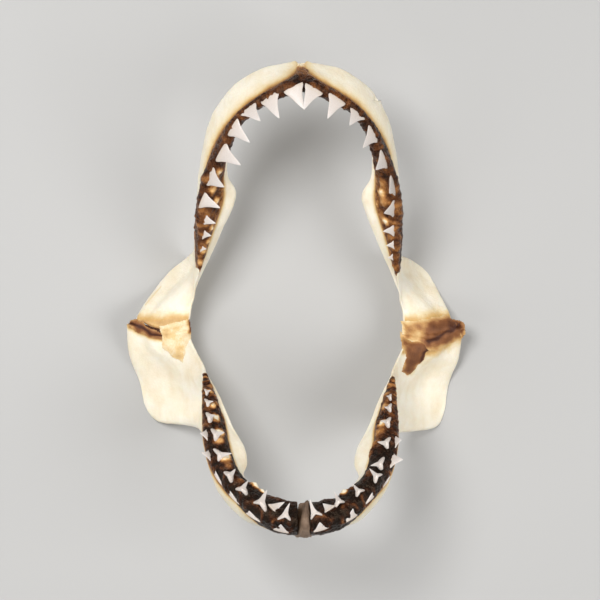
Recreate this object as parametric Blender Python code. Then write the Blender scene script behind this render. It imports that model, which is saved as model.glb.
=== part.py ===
"""A white shark's dried jaw, gaping wide, as it rests on its back with the mouth upwards.

Metres in the finished model, millimetres in the named sizes. +X is the animal's left, +Y runs
from the lower front teeth to the upper front teeth, and +Z is the way that the animal faces. The
origin lies on the floor, at the middle of the model's outline.

Each jaw is drawn in its own frame, as if shut: how far from the middle line, how far in front of
the joint, and how far away from the bite. It is then swung open about the joint.
"""
import math
import random

import bmesh
import bpy
import numpy as np

MM = 0.001
SEED = 41

# The gape: how far each jaw is swung from the way that the animal faces.
UPPER_GAPE = math.radians(59.5)
LOWER_GAPE = math.radians(46.5)

# Where the model rests: the level of the plates' rims under the joints' own level.
REST_LEVEL = -37.0

# The left side of the dried jaw has sagged a little at the joint.
LEFT_SAG = 5.0
SAG_REACH = 260.0

# Clearance between pieces that touch.
GAP = 0.3

# How far the back of a plate turns from square to the plate to straight down.
PLATE_TURN = 0.6

# How many rows the loft has between two stations, and how many points on each of its spans.
ROWS_PER_STATION = 2
SPAN_STEPS = (2, 1, 3, 3, 1, 1, 3, 3, 1)
FRONT_POINTS = sum(SPAN_STEPS[:5])

# The upper jaw's stations from the middle line to the joint. Each has the crest, the gum line,
# the tooth line, the gum's inner edge and the inner flap's edge, as (out, forward, up).
UPPER_STATIONS = (
    ((2.6, 266, 47), (2.6, 265, 30), (2.6, 260, 5), (2.6, 250, 26), (2.6, 252, 40)),
    ((17, 265, 47), (14, 262, 17), (11, 260, 5), (10, 249, 26), (11, 252, 38)),
    ((41, 259, 46), (34, 252, 11), (31, 250, 5), (30, 241, 27), (32, 244, 37)),
    ((67, 240, 45), (53, 239, 8), (50, 238, 5), (49, 230, 24), (50, 233, 34)),
    ((85, 211, 45), (70, 217, 12), (65, 219, 5), (62, 213, 22), (63, 215, 32)),
    ((93, 182, 42), (84, 188, 19), (75, 193, 5), (70, 190, 20), (71, 190, 28)),
    ((98, 151, 40), (91, 162, 14), (88, 167, 5), (74, 159, 19), (72, 158, 23)),
    ((100, 119, 38), (97, 126, 20), (93, 138, 5), (75, 132, 15), (63, 135, 21)),
    ((102, 84, 38), (101, 89, 23), (94, 103, 4), (87, 94, 10), (78, 96, 16)),
    ((103, 64, 42), (101, 62, 10), (98, 64, 2), (97, 59, 5), (95, 58, 11)),
    ((112, 42, 62), (105, 45, 20), (103, 44, 12), (102, 42, 8), (102, 40, 8)),
    ((128, 28, 60), (113, 33, 26), (107, 34, 15), (104, 33, 9), (103, 32, 6)),
    ((147, 14, 37), (130, 19, 20), (120, 21, 12), (111, 21, 7), (106, 20, 4)),
    ((159, 5, 10), (145, 4, 4), (134, 5, 0), (120, 7, -1), (108, 8, 0)),
    ((155, 2, 5), (145, -1, 0), (134, -1, -4), (122, 2, -3), (112, 4, -2)),
)

# The lower jaw's stations. The first point of each lies on the lower rim in place of a crest.
LOWER_STATIONS = (
    ((6, 216, 46), (6, 238, 29), (6, 242, 5), (6, 219, 6), (6, 213, 20)),
    ((24, 218, 46), (22, 237, 28), (20, 240, 5), (16, 217, 7), (15, 210, 21)),
    ((41, 217, 43), (41, 229, 25), (41, 229, 5), (29, 211, 9), (27, 204, 22)),
    ((57, 209, 41), (60, 213, 17), (57, 210, 5), (44, 199, 11), (42, 193, 22)),
    ((76, 188, 34), (78, 190, 13), (70, 185, 4), (58, 182, 12), (56, 172, 23)),
    ((82, 166, 35), (88, 168, 10), (75, 163, 4), (65, 162, 13), (53, 155, 23)),
    ((86, 140, 44), (93, 143, 6), (80, 142, 3), (70, 140, 11), (57, 138, 19)),
    ((90, 112, 56), (94, 122, 4), (85, 123, 2), (73, 118, 9), (68, 118, 15)),
    ((93, 88, 65), (94, 98, 2), (87, 100, 1), (80, 96, 6), (78, 93, 8)),
    ((100, 71, 73), (94, 80, 1), (90, 81, 0), (86, 77, 3), (85, 76, 5)),
    ((118, 61, 79), (94, 63, 2), (93, 63, 0), (92, 61, 1), (92, 60, 3)),
    ((140, 49, 88), (101, 49, 20), (97, 50, 10), (95, 51, 5), (94, 51, 3)),
    ((152, 33, 84), (112, 36, 30), (106, 36, 16), (102, 36, 8), (100, 35, 3)),
    ((158, 16, 65), (124, 23, 24), (115, 23, 14), (109, 22, 6), (106, 21, 1)),
    ((168, 5, 36), (140, 15, 19), (126, 17, 12), (115, 15, 5), (107, 15, 0)),
    ((169, -4, 2), (150, 5, 3), (138, 9, 5), (122, 9, 3), (107, 9, 1)),
)

# The left half's plates grew larger: by station, how much further out and away their rims lie.
LEFT_UPPER_RIM = (0, 0, 0, 0, 0, 0, 0, 0, 0, 0, 7, 7, 2, -3, -3)
LEFT_LOWER_RIM = (0, 0, 0, 0, 0, 0, 0, 0, 0, 4, 6, 4, 0, -2, -3, -3)
RIM_SHARES = (1.0, 0.0, 0.8)

# Upper jaw, by station: how far the cheek bulges, how far the back stands off the line from crest
# to flap, the rim's thickness, and how much of the rim turns to the back.
UPPER_BULGE = (0, 2, 3, 3, 3, 2, 1, 0, 0, 0, -3, -4, -4, -1, 0)
UPPER_BACK = (2, 1, 0, -2, -5, -7, -9, -11, -9, -2, 5, 8, 9, 7, 5)
UPPER_RIM = (6, 6, 6, 6, 6, 6, 5, 5, 5, 5, 5, 5, 6, 7, 6)
UPPER_TURN = (0, 0, 0, 0, 0, 0.1, 0.2, 0.3, 0.5, 0.8, 1, 1, 1, 1, 1)

# The same sizes for the lower jaw.
LOWER_BULGE = (0, 3, 3, 3, 3, 2, 1, 0, -1, -5, -12, -12, -10, -7, -4, 0)
LOWER_BACK = (2, 1, 0, -3, -5, -7, -8, -8, -5, 4, 13, 16, 15, 12, 9, 5)
LOWER_RIM = (6, 6, 6, 6, 6, 6, 5, 5, 5, 5, 5, 5, 5, 6, 7, 5)
LOWER_TURN = (0, 0, 0, 0, 0, 0.1, 0.2, 0.3, 0.5, 0.8, 1, 1, 1, 1, 1, 1)

# The gum: its thickness over the tooth line and at its edges, and the station where it ends.
GUM_THICK = 5.5
GUM_EDGE = 0.9
GUM_TAPER = 0.15
UPPER_GUM_END = 9.0
LOWER_GUM_END = 10.0

# Teeth from the middle line back: station, width, height, lean forward along the row, lean inward.
UPPER_TEETH = (
    (0.97, 15, 26, 0.24, 0.36),
    (2.0, 20, 26, 0.02, 0.38),
    (3.0, 17, 20, 0.02, 0.42),
    (4.0, 18, 24, -0.12, 0.65),
    (5.0, 19, 24, -0.12, 0.90),
    (6.0, 18, 21, -0.20, 0.80),
    (6.95, 15, 18, -0.20, 0.85),
    (7.55, 11, 12, -0.22, 0.80),
    (8.05, 8, 8, -0.22, 0.70),
)
LOWER_TEETH = (
    (1.0, 14, 22, 0.24, 0.10),
    (1.95, 14, 21, 0.10, 0.30),
    (3.0, 13, 18, 0.05, 0.30),
    (4.1, 13, 17, -0.05, 0.35),
    (5.3, 13, 15, -0.10, 0.35),
    (6.3, 11, 12, -0.10, 0.35),
    (7.1, 9, 9, -0.10, 0.35),
    (7.75, 7, 7, -0.10, 0.35),
)

# The lower jaw's outer row, half buried in the gum, with its tips turned outwards.
LOWER_OUTER_TEETH = (
    (1.05, 12, 10, 0.30, -2.2),
    (2.1, 12, 10, 0.10, -2.2),
    (3.15, 12, 10, 0.0, -2.2),
    (4.25, 12, 10, 0.0, -2.2),
    (5.6, 10, 10, 0.0, -2.0),
    (6.6, 9, 9, 0.0, -2.0),
)

# A tooth's rings from root to tip: share of its height, of its width and of its thickness.
TOOTH_RINGS = ((-0.16, 0.62, 0.55), (0.0, 1.0, 1.0), (0.3, 0.70, 0.85), (0.66, 0.36, 0.55))
TOOTH_SIDES = 6
TOOTH_THICK = 0.30
ROOT_SHARE = 0.80
SIZE_SPREAD = 0.05

# The root lobes that show under the lower teeth: length, width and spread in tooth widths.
LOBE_LENGTH = 0.42
LOBE_WIDTH = 0.36
LOBE_SPREAD = 0.62

# The joint's ligament: its cord along the joint and the flap that runs down the lower jaw.
CORD_RADIUS = 4.6
CORD_SIDES = 8
CORD_LIFT = 1.0
FLAP_THICK = 2.6
RIGHT_FLAP_ROWS = 6
LEFT_FLAP_ROWS = 8
PAD_SWELL = 1.2

CARTILAGE = (0.93, 0.86, 0.70)
GUM = (0.10, 0.035, 0.015)
SYMPHYSIS = (0.26, 0.19, 0.13)
LIGAMENT = (0.42, 0.22, 0.08)


def clear_scene():
    """Remove whatever objects the scene starts with."""
    for item in list(bpy.data.objects):
        bpy.data.objects.remove(item, do_unlink=True)


def material(name, colour, roughness):
    """A plain surface of one colour."""
    made = bpy.data.materials.new(name)
    made.use_nodes = True
    shader = made.node_tree.nodes["Principled BSDF"]
    shader.inputs["Base Color"].default_value = (*colour, 1.0)
    shader.inputs["Roughness"].default_value = roughness
    shader.inputs["Metallic"].default_value = 0.0
    return made


def along(points, place):
    """Catmull-Rom curve through the points, read at a place counted in points."""
    points = np.asarray(points, dtype=float)
    first = 2 * points[0] - points[1]
    last = 2 * points[-1] - points[-2]
    held = np.concatenate(([first], points, [last]))
    start = min(int(place), len(points) - 2)
    u = place - start
    a, b, c, d = held[start:start + 4]
    return b + 0.5 * u * (c - a + u * (2 * a - 5 * b + 4 * c - d + u * (3 * (b - c) + d - a)))


def around(points, span_steps):
    """Closed centripetal Catmull-Rom curve through the points, with steps on each span."""
    count = len(points)
    found = []
    for span, steps in enumerate(span_steps):
        held = [points[(span + k - 1) % count] for k in range(4)]
        knots = [0.0]
        for near, far in zip(held, held[1:]):
            knots.append(knots[-1] + math.sqrt(max(float(np.linalg.norm(far - near)), 1e-6)))
        for step in range(steps):
            u = knots[1] + (knots[2] - knots[1]) * step / steps
            found.append(curve_point(held, knots, u))
    return found


def curve_point(held, knots, u):
    """One point of a curve through four points with their knots."""
    level = list(held)
    for order in (1, 2, 3):
        level = [between(level[k], level[k + 1], knots, k, order, u) for k in range(4 - order)]
    return level[0]


def between(near, far, knots, k, order, u):
    """One step of the curve's pyramid of mixes."""
    first, last = (k, k + 1) if order == 1 else (k, k + 2) if order == 2 else (1, 2)
    share = (u - knots[first]) / (knots[last] - knots[first])
    return (1 - share) * near + share * far


def unit(vector):
    """The vector at length one."""
    return vector / max(float(np.linalg.norm(vector)), 1e-9)


def swing(point, upper, side):
    """A point of the shut jaw's frame, swung open and set on its side of the middle line."""
    out, forward, away = point
    gape = UPPER_GAPE if upper else LOWER_GAPE
    height = forward * math.sin(gape) + away * math.cos(gape)
    depth = forward * math.cos(gape) - away * math.sin(gape)
    sag = LEFT_SAG * max(0.0, 1.0 - forward / SAG_REACH) if side > 0 else 0.0
    return np.array((side * out, (height if upper else -height) - sag, depth))


def section(corners, tangent, backward, bulge, back, rim, turn):
    """The closed outline of one station, from its five corners, in the shut jaw's frame."""
    crest, gum_line, tooth, gum_inner, flap = corners
    chord = unit(crest - flap)
    away = unit(np.cross(chord, tangent))
    if np.dot(away, backward) < 0:
        away = -away
    away = unit((1 - PLATE_TURN * turn) * away + PLATE_TURN * turn * backward)
    cheek = (crest + gum_line) / 2 + bulge * np.array((1.0, 0.0, 0.0))
    edge = unit((1 - turn) * -chord + turn * away)
    middle = (crest + flap) / 2 + back * away
    return (crest, cheek, gum_line, tooth, gum_inner, flap,
            flap + 0.7 * rim * away, middle, crest + rim * edge)


class Half:
    """One half of one jaw: its loft as a grid of points, with the surface's normals."""

    def __init__(self, upper, side):
        self.upper = upper
        self.side = side
        stations = np.array(UPPER_STATIONS if upper else LOWER_STATIONS, dtype=float)
        sizes = np.array((UPPER_BULGE, UPPER_BACK, UPPER_RIM, UPPER_TURN) if upper
                         else (LOWER_BULGE, LOWER_BACK, LOWER_RIM, LOWER_TURN)).T
        self.last = len(stations) - 1
        if side > 0:
            growth = np.array(LEFT_UPPER_RIM if upper else LEFT_LOWER_RIM, dtype=float)
            stations[:, 0] += growth[:, None] * np.array(RIM_SHARES)
        gape = UPPER_GAPE if upper else LOWER_GAPE
        backward = np.array((0.0, -math.cos(gape), math.sin(gape)))
        rows = []
        for row in range(self.last * ROWS_PER_STATION + 1):
            place = row / ROWS_PER_STATION
            corners = along(stations, place)
            before = along(stations, max(place - 0.1, 0.0))
            after = along(stations, min(place + 0.1, self.last))
            tangent = unit((after - before).mean(axis=0))
            outline = np.array(section(corners, tangent, backward, *along(sizes, place)))
            if row == 0:
                outline[:, 0] = stations[0, 0, 0]
            rows.append([swing(point, upper, side) for point in around(outline, SPAN_STEPS)])
        self.grid = np.array(rows)
        self.normals = grid_normals(self.grid)
        self.normals[0, :, 0] = 0
        self.normals[0] /= np.linalg.norm(self.normals[0], axis=1, keepdims=True)
        self.gum_first = sum(SPAN_STEPS[:2])
        self.tooth_column = self.gum_first + SPAN_STEPS[2]
        self.gum_last = self.tooth_column + SPAN_STEPS[3]

    def at(self, place, column):
        """The surface point and normal at a place counted in stations."""
        row = place * ROWS_PER_STATION
        return along(self.grid[:, column], row), unit(along(self.normals[:, column], row))

    def bite_way(self):
        """The way that this jaw's teeth bite."""
        return swing((0, SAG_REACH, -1), self.upper, 0) - swing((0, SAG_REACH, 0), self.upper, 0)

    def gum_thickness(self, place, across):
        """The gum's thickness at a station, at a share of the way from its outer edge."""
        end = UPPER_GUM_END if self.upper else LOWER_GUM_END
        taper = math.sqrt(min(max(1 - place / end, 0.0) / GUM_TAPER, 1.0))
        hump = math.sin(math.pi * across) ** 0.7 if 0 < across < 1 else 0.0
        return GUM_EDGE + (GUM_THICK - GUM_EDGE) * taper * hump

    def grown(self, clearance):
        """The loft's grid pushed out by a clearance, past its ends too."""
        grid = self.grid + clearance * self.normals
        grid[0] -= clearance * self.end_way(0)
        grid[-1] += clearance * self.end_way(-1)
        return grid

    def end_way(self, end):
        """The way that the loft runs at one of its ends."""
        centres = self.grid.mean(axis=1)
        return unit(centres[1] - centres[0] if end == 0 else centres[-1] - centres[-2])


def grid_normals(grid):
    """Normals that point out of a loft whose columns run round it."""
    rows = np.gradient(grid, axis=0)
    columns = np.roll(grid, -1, axis=1) - np.roll(grid, 1, axis=1)
    normals = np.cross(rows, columns)
    normals /= np.maximum(np.linalg.norm(normals, axis=2, keepdims=True), 1e-9)
    outward = grid - grid.mean(axis=1, keepdims=True)
    if np.sum(normals * outward) < 0:
        normals = -normals
    return normals


def mesh_object(name, vertices, faces):
    """A closed mesh object from points in millimetres, with its faces turned outwards."""
    mesh = bpy.data.meshes.new(name)
    shape = bmesh.new()
    made = [shape.verts.new(np.asarray(point) * MM) for point in vertices]
    for face in faces:
        shape.faces.new([made[index] for index in face])
    bmesh.ops.triangulate(shape, faces=shape.faces[:], quad_method="FIXED")
    bmesh.ops.recalc_face_normals(shape, faces=shape.faces[:])
    shape.to_mesh(mesh)
    shape.free()
    item = bpy.data.objects.new(name, mesh)
    bpy.context.scene.collection.objects.link(item)
    return item


def loft(name, grid, front=None):
    """A closed body from rings of points, each end closed to its centre or from front to back."""
    rows, columns = grid.shape[:2]
    points = [*grid.reshape(-1, 3), grid[0].mean(axis=0)]
    faces = [(index, (index + 1) % columns, rows * columns) for index in range(columns)]
    last = (rows - 1) * columns
    if front is None:
        points.append(grid[-1].mean(axis=0))
        faces += [(last + index, last + (index + 1) % columns, rows * columns + 1)
                  for index in range(columns)]
    else:
        faces += [tuple(last + index for index in face) for face in end_faces(columns, front)]
    for row in range(rows - 1):
        for column in range(columns):
            near = row * columns + column
            beside = row * columns + (column + 1) % columns
            faces.append((near, beside, beside + columns, near + columns))
    return mesh_object(name, points, faces)


def end_faces(columns, front):
    """The triangles that close a ring, zipped between its front and its back points."""
    ahead = list(range(front + 1))
    behind = list(range(columns - 1, front, -1))
    faces = []
    a = b = 0
    while a < len(ahead) - 1 or b < len(behind) - 1:
        if b == len(behind) - 1 or (a + 1) / len(ahead) <= (b + 1) / len(behind):
            faces.append((ahead[a], ahead[a + 1], behind[b]))
            a += 1
        else:
            faces.append((ahead[a], behind[b], behind[b + 1]))
            b += 1
    return faces


def strip(name, under, over):
    """A closed body between two sheets of points that have the same rows and columns."""
    rows, columns = under.shape[:2]
    count = rows * columns
    faces = []
    for row in range(rows - 1):
        for column in range(columns - 1):
            near = row * columns + column
            faces.append((near, near + 1, near + columns + 1, near + columns))
            faces.append(tuple(index + count for index in faces[-1]))
    rim = list(range(columns))
    rim += [row * columns + columns - 1 for row in range(1, rows)]
    rim += [(rows - 1) * columns + column for column in range(columns - 2, -1, -1)]
    rim += [row * columns for row in range(rows - 2, 0, -1)]
    for index, near in enumerate(rim):
        beside = rim[(index + 1) % len(rim)]
        faces.append((near, beside, beside + count, near + count))
    return mesh_object(name, np.concatenate((under.reshape(-1, 3), over.reshape(-1, 3))), faces)


def tooth(name, base, axis, row_way, width, height, lean, thickness):
    """A crown with its root: rings that taper to a tip."""
    face = unit(np.cross(axis, row_way))
    row_way = unit(np.cross(face, axis))
    rings = []
    for share, wide, thick in TOOTH_RINGS:
        centre = base + axis * height * share + row_way * lean * height * max(share, 0.0) ** 1.3
        for side in range(TOOTH_SIDES):
            turn = 2 * math.pi * side / TOOTH_SIDES
            across = row_way * math.cos(turn) * wide * width / 2
            through = face * math.sin(turn) * thick * thickness / 2
            rings.append(centre + across + through)
    tip = base + axis * height + row_way * lean * height
    faces = [tuple(range(TOOTH_SIDES))]
    for ring in range(len(TOOTH_RINGS) - 1):
        for side in range(TOOTH_SIDES):
            near = ring * TOOTH_SIDES + side
            beside = ring * TOOTH_SIDES + (side + 1) % TOOTH_SIDES
            faces.append((near, beside, beside + TOOTH_SIDES, near + TOOTH_SIDES))
    top = (len(TOOTH_RINGS) - 1) * TOOTH_SIDES
    for side in range(TOOTH_SIDES):
        faces.append((top + side, top + (side + 1) % TOOTH_SIDES, len(rings)))
    return mesh_object(name, rings + [tip], faces)


def row_of_teeth(half, teeth, column, draw, lobes):
    """The teeth of one row, set on the gum over the given column of the loft."""
    pieces = []
    share = (column - half.gum_first) / (half.gum_last - half.gum_first)
    bite = half.bite_way()
    for station, width, height, lean, inward in teeth:
        width *= draw.uniform(1 - SIZE_SPREAD, 1 + SIZE_SPREAD)
        height *= draw.uniform(1 - SIZE_SPREAD, 1 + SIZE_SPREAD)
        point, normal = half.at(station, column)
        ahead, _ = half.at(min(station + 0.1, half.last), column)
        row_way = unit(point - ahead)
        inner = unit(np.cross(row_way, bite))
        inner = inner if inner[0] * half.side < 0 else -inner
        axis = unit(bite + inward * inner)
        base = point + normal * (GAP + ROOT_SHARE * half.gum_thickness(station, share))
        thickness = max(width * TOOTH_THICK, 2.0)
        pieces.append(tooth("tooth", base, axis, row_way, width, height, lean, thickness))
        if lobes:
            for way in (-1, 1):
                lobe_axis = unit(-axis + way * LOBE_SPREAD * row_way + 0.35 * normal)
                root = base + normal * 1.2 + row_way * way * width * 0.18
                pieces.append(tooth("lobe", root, lobe_axis, row_way, width * LOBE_WIDTH,
                                    height * LOBE_LENGTH, 0.0, thickness * 0.9))
    return pieces


def joined(name, body, pieces):
    """The body united with the pieces set in it, as one closed surface."""
    group = bpy.data.collections.new(name + "_pieces")
    for piece in pieces:
        bpy.context.scene.collection.objects.unlink(piece)
        group.objects.link(piece)
    bpy.context.scene.collection.children.link(group)
    union = body.modifiers.new("teeth", "BOOLEAN")
    union.operation = "UNION"
    union.operand_type = "COLLECTION"
    union.collection = group
    union.solver = "MANIFOLD"
    apply_modifiers(body)
    for piece in list(group.objects):
        bpy.data.objects.remove(piece, do_unlink=True)
    bpy.data.collections.remove(group)
    keep_largest(body)
    return body


def cut_clear(body, cutters):
    """Cut the body clear of its neighbours, with cutters that are grown by the gap."""
    for cutter in cutters:
        cut = body.modifiers.new("clear", "BOOLEAN")
        cut.operation = "DIFFERENCE"
        cut.object = cutter
        cut.solver = "EXACT"
    apply_modifiers(body)
    for cutter in cutters:
        bpy.data.objects.remove(cutter, do_unlink=True)
    keep_largest(body)
    return body


def apply_modifiers(item):
    """Replace an object's mesh with the one that its modifiers give."""
    view = bpy.context.evaluated_depsgraph_get()
    mesh = bpy.data.meshes.new_from_object(item.evaluated_get(view))
    item.modifiers.clear()
    item.data = mesh


def keep_largest(item):
    """Keep only the largest closed surface of a mesh, as triangles."""
    shape = bmesh.new()
    shape.from_mesh(item.data)
    bmesh.ops.dissolve_degenerate(shape, edges=shape.edges[:], dist=0.00001)
    bmesh.ops.triangulate(shape, faces=shape.faces[:])
    left = set(shape.faces)
    largest = set()
    while left:
        island = set()
        reach = [left.pop()]
        while reach:
            face = reach.pop()
            island.add(face)
            for edge in face.edges:
                for other in edge.link_faces:
                    if other in left:
                        left.remove(other)
                        reach.append(other)
        if len(island) > len(largest):
            largest = island
    scraps = [face for face in shape.faces if face not in largest]
    bmesh.ops.delete(shape, geom=scraps, context="FACES")
    shape.to_mesh(item.data)
    shape.free()


def cartilage(name, half):
    """The cartilage of one half, as a loft from the middle line to the joint."""
    return loft(name, half.grid, FRONT_POINTS)


def gum(name, half, draw):
    """The dried gum of one half with its teeth, bent round the oral edge of the cartilage."""
    end = UPPER_GUM_END if half.upper else LOWER_GUM_END
    rows = int(end * ROWS_PER_STATION) + 1
    columns = slice(half.gum_first, half.gum_last + 1)
    points = half.grid[:rows, columns]
    normals = half.normals[:rows, columns]
    thickness = np.array([[half.gum_thickness(row / ROWS_PER_STATION, share)
                           for share in np.linspace(0, 1, points.shape[1])]
                          for row in range(rows)])
    under = points + GAP * normals
    over = points + (GAP + thickness)[:, :, None] * normals
    body = strip(name, under, over)
    teeth = UPPER_TEETH if half.upper else LOWER_TEETH
    pieces = row_of_teeth(half, teeth, half.tooth_column, draw, not half.upper)
    if not half.upper:
        pieces += row_of_teeth(half, LOWER_OUTER_TEETH, half.tooth_column - 1, draw, False)
    return joined(name, body, pieces)


def symphysis(name, half, half_width, front_swell):
    """The pad that joins the two halves at the middle line, proud of them all round."""
    ring = half.grid[0].copy()
    for index, normal in enumerate(half.normals[0]):
        share = (index - half.gum_first) / (half.gum_last - half.gum_first)
        hump = math.sin(math.pi * share) ** 0.7 if 0 < share < 1 else 0.0
        ring[index] += (PAD_SWELL + (front_swell - PAD_SWELL) * hump) * normal
    ends = []
    for out in (-half_width, half_width):
        face = ring.copy()
        face[:, 0] = out
        ends.append(face)
    return loft(name, np.array(ends))


def ligament(name, upper_half, lower_half):
    """The joint's ligament: a cord in the crease between the jaws and a flap on the lower one."""
    last = FRONT_POINTS
    upper_edge = upper_half.grid[-1, :last + 1]
    lower_edge = lower_half.grid[-1, :last + 1]
    path = (upper_edge + lower_edge) / 2
    path[:, 2] += CORD_LIFT
    rings = []
    for index, centre in enumerate(path):
        way = unit(path[min(index + 1, last)] - path[max(index - 1, 0)])
        rise = unit(np.cross(way, (0, 1, 0)))
        beside = unit(np.cross(rise, way))
        radius = CORD_RADIUS * (0.6 + 0.4 * math.sin(math.pi * index / last))
        rings.append([centre + radius * (rise * math.cos(turn) + 1.25 * beside * math.sin(turn))
                      for turn in np.linspace(0, 2 * math.pi, CORD_SIDES, endpoint=False)])
    cord = loft(name, np.array(rings))
    columns = slice(lower_half.tooth_column, lower_half.gum_last + 1)
    length = LEFT_FLAP_ROWS if lower_half.side > 0 else RIGHT_FLAP_ROWS
    points = lower_half.grid[-length:, columns]
    normals = lower_half.normals[-length:, columns]
    flap = strip("flap", points + 2 * GAP * normals, points + (2 * GAP + FLAP_THICK) * normals)
    body = joined(name, cord, [flap])
    cutters = [loft("clear_of_upper", upper_half.grown(GAP), FRONT_POINTS),
               loft("clear_of_lower", lower_half.grown(GAP), FRONT_POINTS)]
    return cut_clear(body, cutters)


def settle(items):
    """Rest the model on small flats at one level, with its outline centred on the origin."""
    floor = REST_LEVEL * MM
    low = np.full(3, np.inf)
    high = np.full(3, -np.inf)
    for item in items:
        for vertex in item.data.vertices:
            vertex.co.z = max(vertex.co.z, floor)
            low = np.minimum(low, vertex.co)
            high = np.maximum(high, vertex.co)
    shift = (-(low[0] + high[0]) / 2, -(low[1] + high[1]) / 2, -floor)
    for item in items:
        for vertex in item.data.vertices:
            vertex.co.x += shift[0]
            vertex.co.y += shift[1]
            vertex.co.z += shift[2]


def build():
    """Make every piece, colour it and settle the whole on the floor."""
    clear_scene()
    draw = random.Random(SEED)
    looks = {
        "cartilage": material("cartilage", CARTILAGE, 0.55),
        "gum": material("gum", GUM, 0.35),
        "symphysis": material("symphysis", SYMPHYSIS, 0.6),
        "ligament": material("ligament", LIGAMENT, 0.45),
    }
    halves = {}
    made = []
    for side, side_name in ((-1, "right"), (1, "left")):
        for upper, bone, gum_name in ((True, "palatoquadrate", "upper_gum"),
                                      (False, "meckel", "lower_gum")):
            half = Half(upper, side)
            halves[side, upper] = half
            made.append((cartilage(f"{bone}_{side_name}", half), "cartilage"))
            made.append((gum(f"{gum_name}_{side_name}", half, draw), "gum"))
        made.append((ligament(f"joint_ligament_{side_name}", halves[side, True],
                              halves[side, False]), "ligament"))
    upper_pad = symphysis("upper_symphysis", halves[-1, True], UPPER_STATIONS[0][0][0] - GAP, 3.0)
    lower_pad = symphysis("lower_symphysis", halves[-1, False], LOWER_STATIONS[0][0][0] - GAP, 5.0)
    made += [(upper_pad, "symphysis"), (lower_pad, "symphysis")]
    settle([item for item, _ in made])
    for item, look in made:
        item.data.materials.clear()
        item.data.materials.append(looks[look])
    return [item for item, _ in made]


build()
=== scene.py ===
"""The looks of a white shark's dried jaw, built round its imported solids.

Sizes are millimetres in the frame of the two jaw joints: x to the animal's left, y from the lower
to the upper front teeth, z the way that the animal faces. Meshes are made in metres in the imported
model's frame, which SETTLED shifts to. Teeth and lumps are placed by where they are seen in the
picture, on the surface that carries them.
"""
import math
import random

import bmesh
import bpy
import numpy as np
from mathutils import Matrix, Vector, noise
from mathutils.bvhtree import BVHTree


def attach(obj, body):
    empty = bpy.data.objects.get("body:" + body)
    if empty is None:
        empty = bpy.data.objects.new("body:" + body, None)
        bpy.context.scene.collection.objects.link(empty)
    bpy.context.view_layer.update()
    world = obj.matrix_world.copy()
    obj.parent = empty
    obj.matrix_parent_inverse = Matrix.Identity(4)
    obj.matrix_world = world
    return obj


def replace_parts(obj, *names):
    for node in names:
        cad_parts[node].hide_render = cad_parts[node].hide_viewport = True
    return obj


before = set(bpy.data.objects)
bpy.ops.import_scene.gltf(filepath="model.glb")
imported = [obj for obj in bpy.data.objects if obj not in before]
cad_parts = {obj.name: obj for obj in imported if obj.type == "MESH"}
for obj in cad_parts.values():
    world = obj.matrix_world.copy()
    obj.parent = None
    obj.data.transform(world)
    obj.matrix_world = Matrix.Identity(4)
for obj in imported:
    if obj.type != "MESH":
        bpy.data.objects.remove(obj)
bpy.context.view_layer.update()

MM = 0.001
SEED = 7

# From the joints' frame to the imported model's, and the swing of each jaw.
SETTLED = np.array((1.531, -29.785, 37.0))
UPPER_GAPE = math.radians(59.5)
LOWER_GAPE = math.radians(46.5)
LEFT_SAG = 5.0
SAG_REACH = 260.0
PLATE_TURN = 0.6

# The camera in the joints' frame, and the picture point under the joints' middle.
CAMERA = np.array((-92.5, 26.0, 2200.0))
PICTURE_X = 297.0
PICTURE_Y = 300.0
PICTURE_WIDTH = 600.0

# The upper jaw's stations from the middle line to the joint. Each has the crest, the gum line,
# the tooth line, the gum's inner edge and the inner flap's edge, as (out, forward, up).
UPPER_STATIONS = (
    ((2.6, 266, 47), (2.6, 265, 30), (2.6, 260, 5), (2.6, 250, 26), (2.6, 252, 40)),
    ((17, 265, 47), (14, 262, 17), (11, 260, 5), (10, 249, 26), (11, 252, 38)),
    ((41, 259, 46), (34, 252, 11), (31, 250, 5), (30, 241, 27), (32, 244, 37)),
    ((67, 240, 45), (53, 239, 8), (50, 238, 5), (49, 230, 24), (50, 233, 34)),
    ((85, 211, 45), (70, 217, 12), (65, 219, 5), (62, 213, 22), (63, 215, 32)),
    ((93, 182, 42), (84, 188, 19), (75, 193, 5), (70, 190, 20), (71, 190, 28)),
    ((98, 151, 40), (91, 162, 14), (88, 167, 5), (74, 159, 19), (72, 158, 23)),
    ((100, 119, 38), (97, 126, 20), (93, 138, 5), (75, 132, 15), (63, 135, 21)),
    ((102, 84, 38), (101, 89, 23), (94, 103, 4), (87, 94, 10), (78, 96, 16)),
    ((103, 64, 42), (101, 62, 10), (98, 64, 2), (97, 59, 5), (95, 58, 11)),
    ((112, 42, 62), (105, 45, 20), (103, 44, 12), (102, 42, 8), (102, 40, 8)),
    ((128, 28, 60), (113, 33, 26), (107, 34, 15), (104, 33, 9), (103, 32, 6)),
    ((147, 14, 37), (130, 19, 20), (120, 21, 12), (111, 21, 7), (106, 20, 4)),
    ((159, 5, 10), (145, 4, 4), (134, 5, 0), (120, 7, -1), (108, 8, 0)),
    ((155, 2, 5), (145, -1, 0), (134, -1, -4), (122, 2, -3), (112, 4, -2)),
)

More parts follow.
